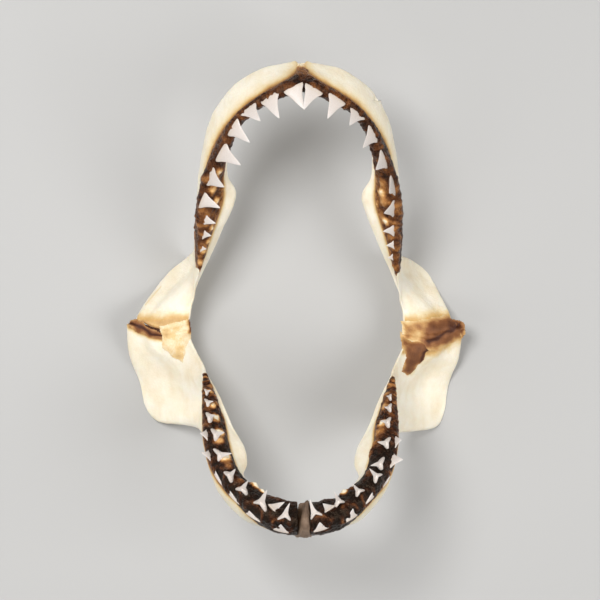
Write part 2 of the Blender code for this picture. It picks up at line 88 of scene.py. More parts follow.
# The lower jaw's stations. The first point of each lies on the lower rim in place of a crest.
LOWER_STATIONS = (
    ((6, 216, 46), (6, 238, 29), (6, 242, 5), (6, 219, 6), (6, 213, 20)),
    ((24, 218, 46), (22, 237, 28), (20, 240, 5), (16, 217, 7), (15, 210, 21)),
    ((41, 217, 43), (41, 229, 25), (41, 229, 5), (29, 211, 9), (27, 204, 22)),
    ((57, 209, 41), (60, 213, 17), (57, 210, 5), (44, 199, 11), (42, 193, 22)),
    ((76, 188, 34), (78, 190, 13), (70, 185, 4), (58, 182, 12), (56, 172, 23)),
    ((82, 166, 35), (88, 168, 10), (75, 163, 4), (65, 162, 13), (53, 155, 23)),
    ((86, 140, 44), (93, 143, 6), (80, 142, 3), (70, 140, 11), (57, 138, 19)),
    ((90, 112, 56), (94, 122, 4), (85, 123, 2), (73, 118, 9), (68, 118, 15)),
    ((93, 88, 65), (94, 98, 2), (87, 100, 1), (80, 96, 6), (78, 93, 8)),
    ((100, 71, 73), (94, 80, 1), (90, 81, 0), (86, 77, 3), (85, 76, 5)),
    ((118, 61, 79), (94, 63, 2), (93, 63, 0), (92, 61, 1), (92, 60, 3)),
    ((140, 49, 88), (101, 49, 20), (97, 50, 10), (95, 51, 5), (94, 51, 3)),
    ((152, 33, 84), (112, 36, 30), (106, 36, 16), (102, 36, 8), (100, 35, 3)),
    ((158, 16, 65), (124, 23, 24), (115, 23, 14), (109, 22, 6), (106, 21, 1)),
    ((168, 5, 36), (140, 15, 19), (126, 17, 12), (115, 15, 5), (107, 15, 0)),
    ((169, -4, 2), (150, 5, 3), (138, 9, 5), (122, 9, 3), (107, 9, 1)),
)

# The left half's plates grew larger: by station, how much further out and away their rims lie.
LEFT_UPPER_RIM = (0, 0, 0, 0, 0, 0, 0, 0, 0, 0, 7, 7, 2, -3, -3)
LEFT_LOWER_RIM = (0, 0, 0, 0, 0, 0, 0, 0, 0, 4, 6, 4, 0, -2, -3, -3)
RIM_SHARES = (1.0, 0.0, 0.8)

# By station: how far the cheek bulges, how far the back stands off the line from crest to flap,
# the rim's thickness, and how much of the rim turns to the back.
UPPER_BULGE = (0, 2, 3, 3, 3, 2, 1, 0, 0, 0, -3, -4, -4, -1, 0)
UPPER_BACK = (2, 1, 0, -2, -5, -7, -9, -11, -9, -2, 5, 8, 9, 7, 5)
UPPER_RIM = (6, 6, 6, 6, 6, 6, 5, 5, 5, 5, 5, 5, 6, 7, 6)
UPPER_TURN = (0, 0, 0, 0, 0, 0.1, 0.2, 0.3, 0.5, 0.8, 1, 1, 1, 1, 1)
LOWER_BULGE = (0, 3, 3, 3, 3, 2, 1, 0, -1, -5, -12, -12, -10, -7, -4, 0)
LOWER_BACK = (2, 1, 0, -3, -5, -7, -8, -8, -5, 4, 13, 16, 15, 12, 9, 5)
LOWER_RIM = (6, 6, 6, 6, 6, 6, 5, 5, 5, 5, 5, 5, 5, 6, 7, 5)
LOWER_TURN = (0, 0, 0, 0, 0, 0.1, 0.2, 0.3, 0.5, 0.8, 1, 1, 1, 1, 1, 1)

# The spans of a section: where the gum starts, where the teeth stand and where the gum ends.
SPANS = 9
GUM_FROM = 2.0
TOOTH_LINE = 3.0
GUM_TO = 4.0
FRONT_TO = 5.0
ROWS_PER_STATION = 13
BONE_STEPS = (14, 10, 8, 8, 8, 6, 14, 14, 6)
GUM_ROWS_PER_STATION = 26
GUM_STEPS = 26

GUM_THICK = 5.5
GUM_TAPER = 0.15
UPPER_GUM_END = 9.0
LOWER_GUM_END = 10.0

# Crowns by where they are seen: the two ends of the base, the tip, and height over width.
UPPER_RIGHT_TEETH = (
    ((284, 93), (303.0, 83.5), (305.0, 110), 1.25),
    ((261, 104), (278.7, 93), (279.5, 118.7), 1.25),
    ((241, 115.5), (256, 104), (260.6, 121.5), 1.15),
    ((229, 136.5), (238.4, 120.4), (250, 143), 1.2),
    ((217.5, 162), (227.5, 144.5), (241, 165.5), 1.2),
    ((206.3, 186.4), (213, 169), (224.5, 187.3), 1.2),
    ((199.8, 209), (206, 194), (220.5, 208.4), 1.15),
    ((202.5, 226), (206, 215), (216, 223.5), 1.1),
    ((203, 240), (205, 231), (211.5, 236), 1.0),
    ((201, 252), (202.5, 245), (206.5, 249), 0.9),
)
UPPER_LEFT_TEETH = (
    ((323, 93.3), (305.6, 83.3), (303.7, 110), 1.25),
    ((344.8, 105.7), (328, 95), (327.5, 118.7), 1.2),
    ((365.3, 119.7), (350.6, 108.4), (349.6, 125.5), 1.15),
    ((378, 142.4), (368.5, 126), (362.8, 148), 1.2),
    ((388.2, 168.3), (381, 150.6), (375.8, 169.7), 1.2),
    ((396.4, 196), (391, 176), (389.5, 193), 1.2),
    ((394.4, 218), (394, 201), (384, 213), 1.15),
    ((394.3, 236), (393.5, 225), (383, 231.4), 1.1),
    ((394, 249.6), (393, 241), (386.3, 245.5), 1.0),
    ((392.6, 261), (392.4, 254), (387.8, 258), 0.9),
)
LOWER_RIGHT_TEETH = (
    ((277, 518), (291, 519), (290, 502.5), 1.6),
    ((253.5, 502), (266.5, 511), (267.2, 489.5), 1.6),
    ((235.5, 488), (247.5, 494), (248.2, 480.6), 1.5),
    ((224, 471), (232, 482), (235.5, 468.5), 1.4),
    ((213.5, 448), (219, 461), (232, 453), 1.3),
    ((211.5, 428), (216, 441), (224.5, 432), 1.3),
    ((206.5, 411.5), (210, 422.5), (215.5, 415), 1.3),
    ((204.8, 398.5), (208, 407), (213.5, 401), 1.2),
    ((204.6, 388), (206.8, 395), (211, 390), 1.2),
)
LOWER_LEFT_TEETH = (
    ((323, 514), (310.5, 518.5), (310, 499.3), 1.6),
    ((345, 501), (334, 507), (334.2, 491.8), 1.6),
    ((364.5, 490), (355.5, 496.5), (353, 484), 1.5),
    ((383.5, 474), (375.5, 483), (369.5, 468.6), 1.4),
    ((384, 457), (381, 470), (370.5, 466), 1.3),
    ((390.5, 437), (387, 449), (377.5, 442), 1.3),
    ((391, 417), (388.5, 428), (380.5, 421), 1.3),
    ((391.3, 403), (390, 412), (384.3, 407), 1.2),
    ((391, 393), (390.6, 400), (386.5, 396), 1.2),
)

# The lower jaw's outer row, by base ends and tip, then the lift of a tip that lies on the gum
# or, from STANDING_FROM up, the height of a tooth that pokes out of it.
STANDING_FROM = 5.0
LOWER_RIGHT_OUTER = (
    ((273.5, 528), (289, 531.5), (281, 523.5), 1.6),
    ((246.5, 512.5), (261.5, 521), (250.5, 509.5), 1.6),
    ((229, 493.5), (240.5, 504), (231.5, 490.5), 1.6),
    ((214.5, 474), (224.5, 486.5), (216, 471), 1.6),
    ((208.5, 449.5), (211, 461), (201.5, 452), 8.0),
    ((206.5, 429.5), (207.8, 440.5), (200, 433), 8.0),
)
LOWER_LEFT_OUTER = (
    ((328.5, 526.5), (313, 531), (319.5, 521.5), 1.6),
    ((357.5, 515), (343, 522.5), (352, 508.5), 1.6),
    ((374, 496.5), (363, 505), (371.5, 492.8), 1.6),
    ((391, 479), (381.5, 489.5), (389.5, 476.5), 1.6),
    ((394.5, 454), (390.5, 468), (403.5, 460), 9.0),
    ((395.8, 436), (395, 448), (402, 440), 8.0),
)

# Teeth still lying in the dried gum behind the row: base ends, tip and height.
LYING_RIGHT = (
    ((269, 505), (277.5, 513.5), (285, 503.5), 2.2),
)
LYING_LEFT = (
    ((335, 506), (324, 513), (322.5, 505), 2.0),
)

# Lumps in the dried gum by where they are seen: place, radius, height and how amber they are.
UPPER_RIGHT_LUMPS = (
    ((219, 172), 4.0, 2.4, 0.9), ((216, 180), 3.6, 2.0, 0.7), ((213, 189), 4.2, 2.0, 0.8),
    ((216, 201), 3.4, 2.2, 0.8), ((207, 215), 3.6, 1.8, 0.5), ((212, 228), 3.4, 1.8, 0.9),
    ((208, 241), 3.2, 1.4, 0.8), ((204, 250), 3.0, 1.2, 0.7), ((200, 262), 3.6, 0.8, 0.7),
)
UPPER_LEFT_LUMPS = (
    ((384, 183), 4.4, 2.6, 0.6), ((382, 192), 4.4, 2.6, 0.9), ((384, 202), 4.4, 2.6, 0.7),
    ((386, 220), 4.0, 2.2, 0.9), ((390, 231), 3.2, 1.6, 0.5), ((390, 251), 3.0, 1.4, 0.6),
    ((393, 266), 3.4, 0.8, 0.5),
)
LOWER_RIGHT_LUMPS = (
    ((216, 418), 4.2, 2.8, 1.0), ((219, 433), 5.0, 3.2, 1.0), ((219, 441), 4.4, 3.0, 0.75),
    ((225, 458), 5.5, 3.4, 0.9), ((229, 465), 4.2, 2.6, 0.5), ((236, 478), 4.4, 2.4, 0.25),
    ((256, 485.5), 4.4, 4.2, 1.25), ((263.5, 491), 3.4, 2.6, 1.2), ((213, 405), 3.2, 1.6, 0.8),
    ((277, 498), 6.0, 1.4, 0.3), ((240.5, 480.5), 3.4, 2.6, 0.4),
)
LOWER_LEFT_LUMPS = (
    ((383, 424), 4.4, 2.6, 0.9), ((385, 408), 3.6, 2.0, 0.7), ((380, 433), 5.4, 2.8, 0.62),
    ((376, 444), 5.6, 3.0, 0.54), ((371, 455), 5.4, 2.6, 0.48), ((369, 474), 4.8, 2.4, 0.42),
    ((344, 493), 3.6, 3.6, 1.25), ((324, 500), 5.5, 1.6, 0.2), ((387, 395), 3.0, 1.4, 0.6),
    ((352, 489), 4.0, 2.2, 0.35),
)

# A crown's outline: share of its height, and of its half width, for broad and narrow teeth.
BROAD = ((0, 1.0), (0.07, 0.93), (0.2, 0.71), (0.4, 0.50), (0.6, 0.35), (0.8, 0.2),
         (0.93, 0.08), (1, 0.0))
NARROW = ((0, 1.0), (0.1, 0.84), (0.24, 0.52), (0.42, 0.34), (0.7, 0.2), (0.9, 0.09), (1, 0.0))
CROWN_RINGS = 44
CROWN_SIDES = 20
SERRATION = 0.16
SERRATION_PITCH = 1.1
ROOT_RINGS = 25
ROOT_SIDES = 14

# The pads along their section: span, half width, swell over the cartilage and tone.
UPPER_PAD = ((0, 3.8, -0.7, 1.0), (0.6, 4.6, 0.2, 0.94), (1.2, 5.0, 1.2, 0.78),
             (1.7, 6.0, 2.2, 0.7), (2.1, 7.0, 3.8, 0.54), (2.5, 7.0, 4.8, 0.4),
             (3, 5.4, 5.0, 0.22), (3.5, 3.0, 2.0, 0.1), (4, 2.4, 0.0, 0.2), (5, 2.4, -0.6, 0.6),
             (9, 3.0, -0.7, 0.95))
LOWER_PAD = ((0, 11.0, 1.4, 0.66), (1.2, 11.0, 2.2, 0.64), (2, 10.0, 3.6, 0.6),
             (2.4, 7.4, 4.3, 0.55), (3, 5.0, 4.3, 0.46), (3.6, 3.4, 3.6, 0.38),
             (4, 2.6, 1.6, 0.3), (5, 2.4, 0.2, 0.4), (9, 8.0, 0.6, 0.6))
PAD_RINGS = 31
LOWER_PAD_DRIFT = 3.0

# The cord in each joint: radius, tone, rings and the points of a ring.
CORD_RADIUS = 2.5
CORD_TONE = 0.08
CORD_RINGS = 46
CORD_SIDES = 26

# The membranes over the joints, as drapes: the pitch of their points, how far the edge wanders,
# how wide a crease is, how far they reach below the surface and how light they can be. Each has
# its outline in the picture, thickness, tone at the edge and inside, crease, which is darkened with
# painted shade, and tinted spots.
DRAPE_PITCH = 0.8
DRAPE_WANDER = 2.0
CREASE_WIDTH = 1.9
DRAPE_UNDER = 0.8
DRAPE_LIGHTEST = 0.86
RIGHT_DRAPES = (
    (((130, 320), (137, 317.5), (143, 322), (152, 328), (162, 331), (165, 337), (152, 338.5),
      (141, 334), (132.5, 329), (128.5, 326)), 1.0, (0.66, 0.34),
     ((131.6, 324), (142.4, 328), (153, 334), (163, 336)), ()),
    (((158, 327), (170, 323), (181, 320), (189, 318.5), (191.5, 330), (191, 339), (187.5, 345),
      (186, 353), (183.5, 363), (177, 360), (169, 355), (162.5, 348), (162, 336)), 1.4,
     (0.93, 0.84), ((189, 321), (190.5, 330)), (((178, 358), 5, -0.14), ((166, 336), 6, -0.12))),
)
LEFT_DRAPES = (
    (((401, 320), (412, 321), (423, 319), (436, 316), (448, 315), (456, 319), (461, 321),
      (466, 327), (466.5, 334), (463, 340), (456, 342), (447, 347), (438, 351), (430, 352),
      (424, 348), (415, 342), (401, 340)), 1.2, (0.80, 0.45),
     ((429, 342), (441, 336), (449, 331.5), (456.5, 327.5), (461, 325)),
     (((405, 325), 9, 0.2), ((417, 337), 5, 0.34), ((402, 338), 6, 0.12), ((426, 319), 7, 0.16),
      ((442, 317), 5, 0.12), ((452, 323), 8, -0.26), ((436, 329), 8, -0.22),
      ((459, 327), 4, -0.26), ((446, 341), 6, -0.12))),
    (((400.5, 331), (406, 334), (411, 340), (421, 340), (429, 342), (429, 350), (424, 361),
      (415, 371), (406.5, 376), (402, 372), (406, 357), (403, 350), (400, 342)), 1.5,
     (0.66, 0.34), ((428, 343), (427, 352), (421, 361)),
     (((402, 350), 4, 0.25), ((404, 336), 6, 0.25), ((415, 337), 4, 0.3),
      ((413, 364), 6, -0.08))),
    (((454, 321.5), (460, 320), (465.5, 323), (467, 330), (466, 337.5), (461, 337), (456, 331)),
     2.2, (0.5, 0.34), ((455, 326), (461, 329)), (((461, 335), 3, 0.4),)),
)

# Smears of dried tissue on the cartilage, and one painted shade line along a fold of the right
# upper plate, by jaw and side, by where they are seen: line, reach and depth.
SMEARS_AND_FOLD_SHADE = {
    (True, -1): ((((136, 321), (150, 321), (162, 323), (175, 320), (186, 320)), 8.0, 0.38),
                 (((183, 322), (188, 327)), 4.6, 0.46),
                 # Painted shade along the fold of the plate, not a smear.
                 (((145.5, 305), (153, 296), (161, 287)), 0.9, 0.2)),
    (True, 1): ((((403, 322), (420, 323), (436, 318), (449, 317)), 8.5, 0.38),
                (((426, 326), (438, 322), (450, 320)), 4.6, 0.52)),
    (False, -1): ((((131, 326), (142, 331), (152, 336), (161, 338)), 3.6, 0.58),),
    (False, 1): ((((428, 350), (442, 343), (455, 336), (465, 333)), 8.0, 0.46),
                 (((402, 340), (404, 352)), 4.0, 0.36),
                 (((424, 352), (410, 368)), 6.0, 0.36)),
}

# The horns beside the upper jaw's notch, and the chip in the left crest by where it is seen and
# the way it runs there, with the height, place and width of its spur and its hollow.
HORN_HEIGHT = 2.2
HORN_OUT = 5.4
HORN_WIDTH = 3.6
NOTCH_DEPTH = 3.2
NOTCH_OUT = 2.6
NOTCH_WIDTH = 1.6
CHIP_SPOT = (381.5, 98.0)
CHIP_WAY = (0.62, 0.78)
CHIP_REACH = 9.0
CHIP_BELLS = ((2.0, 1.8, 1.8), (-4.4, -2.2, 1.9))

# The gum's rounded cells, how amber it is before its lumps, and the collars round its teeth.
CELL_SIZE = 8.5
AMBER_CAP = 0.8
LUMP_GLOW = 0.08
COLLAR_RADIUS = 5.0
COLLAR_HEIGHT = 1.5

# The floor's reach and the studio: light, place, size and power, all in metres and watts.
FLOOR_REACH = 6.0
FLOOR_CORNERS = ((-1, -1), (1, -1), (1, 1), (-1, 1))
LIGHTS = (("key", (-0.7, 0.6, 2.0), 0.8, 33.0), ("fill", (1.3, -0.4, 1.6), 1.2, 20.0),
          ("side", (-1.3, -0.9, 1.4), 1.2, 9.0))
WORLD_COLOUR = (1.0, 0.98, 0.95, 1.0)
WORLD_STRENGTH = 0.3
SENSOR = 36.0

# The shader's inputs, white, and how rough every noise in a material is.
SHADER_INPUTS = {"colour": "Base Color", "rough": "Roughness", "normal": "Normal",
                 "gloss": "Specular IOR Level", "gloss_tint": "Specular Tint",
                 "inner": "Subsurface Weight", "inner_radius": "Subsurface Radius",
                 "inner_scale": "Subsurface Scale"}
WHITE = (1.0, 1.0, 1.0)
NOISE_ROUGHNESS = 0.55

# Steps of detail in the noise of a surface.
OCTAVES = 3

# Where the noise that bends the gum's cells is read, one place for each axis.
WARP_OFFSETS = ((9.3, -1.5, -8.0), (-4.2, 6.7, 2.9), (3.8, 12.4, -5.6))

# Below this height over the floor a surface levels out, as the jaw's own weight has bent it.
FLOOR_EASE = 4.0


# Curves and frames

def along(points, place):
    """Catmull-Rom curve through the points, read at a place counted in points."""
    points = np.asarray(points, dtype=float)
    first = 2 * points[0] - points[1]
    last = 2 * points[-1] - points[-2]
    held = np.concatenate(([first], points, [last]))
    start = min(int(place), len(points) - 2)
    u = place - start
    a, b, c, d = held[start:start + 4]
    return b + 0.5 * u * (c - a + u * (2 * a - 5 * b + 4 * c - d + u * (3 * (b - c) + d - a)))


def unit(vector):
    """The vector at length one."""
    return vector / max(float(np.linalg.norm(vector)), 1e-9)


def unit_rows(vectors):
    """An array's vectors, each at length one."""
    return vectors / np.maximum(np.linalg.norm(vectors, axis=-1, keepdims=True), 1e-9)


def turned_out(normals, outward):
    """Normals, turned round where they point inward on the whole."""
    return -normals if np.sum(normals * outward) < 0 else normals


def around(points, spans):
    """Closed centripetal Catmull-Rom curve through the points, read at places counted in spans."""
    count = len(points)
    found = np.empty((len(spans), 3))
    whole = np.floor(spans + 1e-9).astype(int)
    for span in sorted(set(whole)):
        held = [points[(span + k - 1) % count] for k in range(4)]
        knots = [0.0]
        for near, far in zip(held, held[1:]):
            knots.append(knots[-1] + math.sqrt(max(float(np.linalg.norm(far - near)), 1e-6)))
        chosen = whole == span
        u = (knots[1] + (knots[2] - knots[1]) * (spans[chosen] - span))[:, None]
        level = [point[None, :] for point in held]
        for order in (1, 2, 3):
            after = []
            for k in range(4 - order):
                first, last = (k, k + 1) if order == 1 else (k, k + 2) if order == 2 else (1, 2)
                share = (u - knots[first]) / (knots[last] - knots[first])
                after.append((1 - share) * level[k] + share * level[k + 1])
            level = after
        found[chosen] = level[0]
    return found


def swing(points, upper, side):
    """Points of the shut jaw's frame, swung open and set on their side of the middle line."""
    points = np.asarray(points, dtype=float)
    out, forward, away = points[..., 0], points[..., 1], points[..., 2]
    gape = UPPER_GAPE if upper else LOWER_GAPE
    height = forward * math.sin(gape) + away * math.cos(gape)
    depth = forward * math.cos(gape) - away * math.sin(gape)
    sag = LEFT_SAG * np.maximum(0.0, 1.0 - forward / SAG_REACH) if side > 0 else 0.0
    return np.stack((side * out, (height if upper else -height) - sag, depth), axis=-1)


def section(corners, tangent, backward, bulge, back, rim, turn):
    """The closed outline of one station, from its five corners, in the shut jaw's frame."""
    crest, gum_line, tooth, gum_inner, flap = corners
    chord = unit(crest - flap)
    away = unit(np.cross(chord, tangent))
    if np.dot(away, backward) < 0:
        away = -away
    away = unit((1 - PLATE_TURN * turn) * away + PLATE_TURN * turn * backward)
    cheek = (crest + gum_line) / 2 + bulge * np.array((1.0, 0.0, 0.0))
    edge = unit((1 - turn) * -chord + turn * away)
    middle = (crest + flap) / 2 + back * away
    return np.array((crest, cheek, gum_line, tooth, gum_inner, flap,
                     flap + 0.7 * rim * away, middle, crest + rim * edge))


def seen(points):
    """Where points are seen in the picture."""
    points = np.asarray(points, dtype=float)
    nearness = 1 - points[..., 2] / CAMERA[2]
    x = PICTURE_X + (points[..., 0] - CAMERA[0] * points[..., 2] / CAMERA[2]) / nearness
    y = PICTURE_Y - (points[..., 1] - CAMERA[1]) / nearness
    return np.stack((x, y), axis=-1)


def sight(spot):
    """The way that the camera looks through a picture point."""
    target = np.array((spot[0] - PICTURE_X, PICTURE_Y - spot[1] + CAMERA[1], 0.0))
    return unit(target - CAMERA)


def roughness_at(points, scale, seed):
    """Smooth noise at each point, about -1 to 1, with features of the given size."""
    flat = points.reshape(-1, 3) / scale + seed * 17.3
    values = [noise.fractal(Vector(point), 1.0, 2.0, OCTAVES) for point in flat]
    return np.array(values).reshape(points.shape[:-1])


def cells_at(points, scale, seed):
    """Rounded cells over a grid of points: one inside each, nothing in the creases between."""
    values = np.empty(points.shape[:2])
    shift = Vector((seed * 7.1, seed * 3.3, seed * 5.7))
    for index in np.ndindex(values.shape):
        spot = Vector(points[index]) / scale + shift
        bend = Vector([noise.noise(spot * 1.7 + Vector(offset)) for offset in WARP_OFFSETS])
        near, _ = noise.voronoi(spot + 0.55 * bend)
        values[index] = math.tanh((near[1] - near[0]) * 1.9)
    return values


def grid_normals(grid, closed=True):
    """Normals of a grid of points, by its rows and columns."""
    rows = np.gradient(grid, axis=0)
    columns = (np.roll(grid, -1, axis=1) - np.roll(grid, 1, axis=1) if closed
               else np.gradient(grid, axis=1))
    return unit_rows(np.cross(rows, columns))


class Half:
    """One half of one jaw, as a smooth loft that can be read at any station and span."""

    def __init__(self, upper, side):
        self.upper = upper
        self.side = side
        self.stations = np.array(UPPER_STATIONS if upper else LOWER_STATIONS, dtype=float)
        self.sizes = np.array((UPPER_BULGE, UPPER_BACK, UPPER_RIM, UPPER_TURN) if upper
                              else (LOWER_BULGE, LOWER_BACK, LOWER_RIM, LOWER_TURN)).T
        self.last = len(self.stations) - 1
        self.gum_end = UPPER_GUM_END if upper else LOWER_GUM_END
        if side > 0:
            growth = np.array(LEFT_UPPER_RIM if upper else LEFT_LOWER_RIM, dtype=float)
            self.stations[:, 0] += growth[:, None] * np.array(RIM_SHARES)
        gape = UPPER_GAPE if upper else LOWER_GAPE
        self.backward = np.array((0.0, -math.cos(gape), math.sin(gape)))

    def grid(self, places, spans):
        """Points of the loft, a row for each place and a column for each span value."""
        rows = []
        for place in places:
            corners = along(self.stations, place)
            before = along(self.stations, max(place - 0.1, 0.0))
            after = along(self.stations, min(place + 0.1, self.last))
            tangent = unit((after - before).mean(axis=0))
            outline = section(corners, tangent, self.backward, *along(self.sizes, place))
            if place == 0:
                outline[:, 0] = self.stations[0, 0, 0]
            rows.append(around(outline, spans))
        return swing(np.array(rows), self.upper, self.side)


# Meshes

def placed(name, data):
    """A new object in the scene."""
    item = bpy.data.objects.new(name, data)
    bpy.context.scene.collection.objects.link(item)
    return item


def mesh_piece(name, points, faces, attributes):
    """A mesh object from points in the joints' frame, with a value of each attribute per point."""
    points = np.array(points) + SETTLED
    low = np.minimum(points[:, 2], FLOOR_EASE)
    points[:, 2] = np.where(points[:, 2] < FLOOR_EASE,
                            FLOOR_EASE * np.exp((low - FLOOR_EASE) / FLOOR_EASE), points[:, 2])
    mesh = bpy.data.meshes.new(name)
    mesh.from_pydata((points * MM).tolist(), [], faces)
    for key, values in attributes.items():
        layer = mesh.attributes.new(key, "FLOAT", "POINT")
        layer.data.foreach_set("value", np.asarray(values, dtype=np.float32).ravel())
    mesh.validate()
    shape = bmesh.new()
    shape.from_mesh(mesh)
    bmesh.ops.recalc_face_normals(shape, faces=shape.faces[:])
    shape.to_mesh(mesh)
    shape.free()
    mesh.shade_smooth()
    return placed(name, mesh)


def tube_faces(rows, columns):
    """Faces of rings of points, with a point for each end's centre after them."""
    faces = []
    for row in range(rows - 1):
        for column in range(columns):
            near = row * columns + column
            beside = row * columns + (column + 1) % columns
            faces.append((near, beside, beside + columns, near + columns))
    last = (rows - 1) * columns
    for column in range(columns):
        beside = (column + 1) % columns
        faces.append((beside, column, rows * columns))
        faces.append((last + column, last + beside, rows * columns + 1))
    return faces


def with_ends(rings):
    """The points of rings, or a value of each, with the mean of each end's ring after them."""
    flat = rings.reshape(-1, *rings.shape[2:])
    return np.concatenate((flat, [rings[0].mean(axis=0), rings[-1].mean(axis=0)]))


def tube(name, rings, attributes):
    """A closed piece from rings of points."""
    held = {key: with_ends(values) for key, values in attributes.items()}
    return mesh_piece(name, with_ends(rings), tube_faces(*rings.shape[:2]), held)


def lattice_faces(kept):
    """The points of a lattice in use, and the faces of a sheet on them and one under it."""
    cells = kept[:-1, :-1] & kept[1:, :-1] & kept[:-1, 1:] & kept[1:, 1:]
    used = np.zeros(kept.shape, dtype=bool)
    for row, column in zip(*np.nonzero(cells)):
        used[row:row + 2, column:column + 2] = True
    count = int(used.sum())
    index_of = np.zeros(kept.shape, dtype=int)
    index_of[used] = np.arange(count)
    faces = []
    sides = {}
    for row, column in zip(*np.nonzero(cells)):
        near, far = index_of[row:row + 2, column:column + 2].tolist()
        quad = (near[0], near[1], far[1], far[0])
        faces.append(quad)
        faces.append(tuple(index + count for index in reversed(quad)))
        for start, end in zip(quad, quad[1:] + quad[:1]):
            if (end, start) in sides:
                del sides[end, start]
            else:
                sides[start, end] = True
    faces.extend((end, start, start + count, end + count) for start, end in sides)
    return used, faces


# Materials

class Look:
    """A material in the making: its nodes, its links and its shader."""

    def __init__(self, name):
        self.made = bpy.data.materials.new(name)
        self.made.use_nodes = True
        self.nodes = self.made.node_tree.nodes
        self.links = self.made.node_tree.links
        self.shader = self.nodes["Principled BSDF"]

    def feed(self, socket, value):
        """Give an input a constant or another node's output."""
        if isinstance(value, bpy.types.NodeSocket):
            self.links.new(value, socket)
        else:
            socket.default_value = value

    def shade(self, **values):
        """Feed the shader's inputs, named in full by SHADER_INPUTS."""
        for name, value in values.items():
            self.feed(self.shader.inputs[SHADER_INPUTS[name]], value)

    def node(self, kind, output, feeds, **settings):
        """An output of a new node with these settings and inputs."""
        node = self.nodes.new("ShaderNode" + kind)
        for name, value in settings.items():
            setattr(node, name, value)
        for name, value in feeds.items():
            self.feed(node.inputs[name], value)
        return node.outputs[output]

    def ramp(self, value, stops):
        """A colour ramp over a value, from (position, colour) stops."""
        node = self.nodes.new("ShaderNodeValToRGB")
        elements = node.color_ramp.elements
        while len(elements) < len(stops):
            elements.new(0.5)
        for element, (position, colour) in zip(elements, stops):
            element.position = position
            element.color = (*colour, 1.0)
        self.links.new(value, node.inputs["Fac"])
        return node.outputs["Color"]

    def noise(self, scale, detail, stretch=(1.0, 1.0, 1.0)):
        """Noise over the piece's own coordinates, in features per metre."""
        place = self.node("TexCoord", "Object", {})
        if stretch != (1.0, 1.0, 1.0):
            place = self.node("Mapping", "Vector", {"Vector": place, "Scale": stretch})
        return self.node("TexNoise", "Fac", {"Vector": place, "Scale": scale, "Detail": detail,
                                             "Roughness": NOISE_ROUGHNESS})

    def math(self, kind, first, second):
        """One step of arithmetic on two values or sockets."""
        return self.node("Math", "Value", {0: first, 1: second}, operation=kind)

    def attribute(self, name):
        """A value kept on the mesh's points."""
        return self.node("Attribute", "Fac", {}, attribute_name=name)

    def varied(self, value, *noises):
        """The value with noises, each about its middle and in its amount, added."""
        for source, amount in noises:
            scaled = self.math("MULTIPLY", self.math("SUBTRACT", source, 0.5), amount)
            value = self.math("ADD", value, scaled)
        return value

    def scaled_up(self, source, amount, least):
        """A value in its amount over a least one, or over another value."""
        return self.math("ADD", self.math("MULTIPLY", source, amount), least)

    def bump(self, heights, distance):
        """Bumps on the shader from heights in shares of a distance."""
        self.shade(normal=self.node("Bump", "Normal", {
            "Strength": 1.0, "Distance": distance, "Height": heights}))

    def multiplied(self, share, first, second):
        """One colour multiplied by another, in a share."""
        return self.node("Mix", 2, {0: share, 6: first, 7: second}, data_type="RGBA",
                         blend_type="MULTIPLY")


def bone_material(name):
    """Bleached cartilage: cream, mottled, with amber to brown stains and painted shade where the
    mesh says.
    """
    look = Look(name)
    broad = look.noise(45, 3.0)
    fine = look.noise(420, 5.0)
    specks = look.noise(1500, 3.0)
    grain = look.noise(110, 5.0, (1.0, 0.3, 1.0))
    stain_and_shade = look.varied(look.attribute("stain_and_shade"), (broad, 0.16), (fine, 0.10))
    cream = look.ramp(broad, (
        (0.3, (0.90, 0.80, 0.61)), (0.5, (0.94, 0.87, 0.71)), (0.7, (0.96, 0.91, 0.79))))
    # The ramp's low end, white to pale tan, carries the painted shade; further up are the amber to
    # brown stains.
    stained_and_shaded = look.ramp(stain_and_shade, (
        (0.04, WHITE), (0.18, (0.90, 0.80, 0.60)), (0.34, (0.72, 0.49, 0.22)),
        (0.52, (0.33, 0.155, 0.05)), (0.72, (0.11, 0.036, 0.012))))
    speckled = look.ramp(specks, ((0.3, (0.86, 0.83, 0.77)), (0.55, WHITE)))
    dull = look.ramp(grain, ((0.36, (0.90, 0.85, 0.76)), (0.56, WHITE)))
    colour = look.multiplied(1.0, cream, stained_and_shaded)
    colour = look.multiplied(0.4, colour, speckled)
    look.bump(look.scaled_up(fine, 0.7, look.math("MULTIPLY", specks, 0.25)), 0.0007)
    look.shade(colour=look.multiplied(0.4, colour, dull), rough=look.scaled_up(fine, 0.25, 0.36),
               inner=0.12, inner_radius=(1.0, 0.6, 0.3), inner_scale=0.003)
    return look.made


def gum_material(name):
    """Dried gum: nearly black to brown and amber, wrinkled and glossy like varnish, with painted
    highlights in cream on its lightest lumps.
    """
    look = Look(name)
    broad = look.noise(160, 4.0)
    fine = look.noise(900, 5.0)
    amber = look.varied(look.attribute("amber"), (broad, 0.55), (fine, 0.30))
    # The cream at the top is partly the pale tips of teeth seen through the gum and partly painted
    # highlights on the lightest lumps.
    colour = look.ramp(amber, (
        (0.10, (0.004, 0.0015, 0.001)), (0.28, (0.026, 0.006, 0.002)),
        (0.46, (0.125, 0.042, 0.013)), (0.66, (0.40, 0.175, 0.052)), (0.86, (0.80, 0.49, 0.20)),
        (1.0, (0.93, 0.84, 0.64))))
    look.bump(look.scaled_up(broad, 0.8, look.math("MULTIPLY", fine, 0.5)), 0.0011)
    look.shade(colour=colour, rough=look.scaled_up(fine, 0.34, 0.12), gloss=0.3,
               gloss_tint=(1.0, 0.72, 0.5, 1.0))
    return look.made


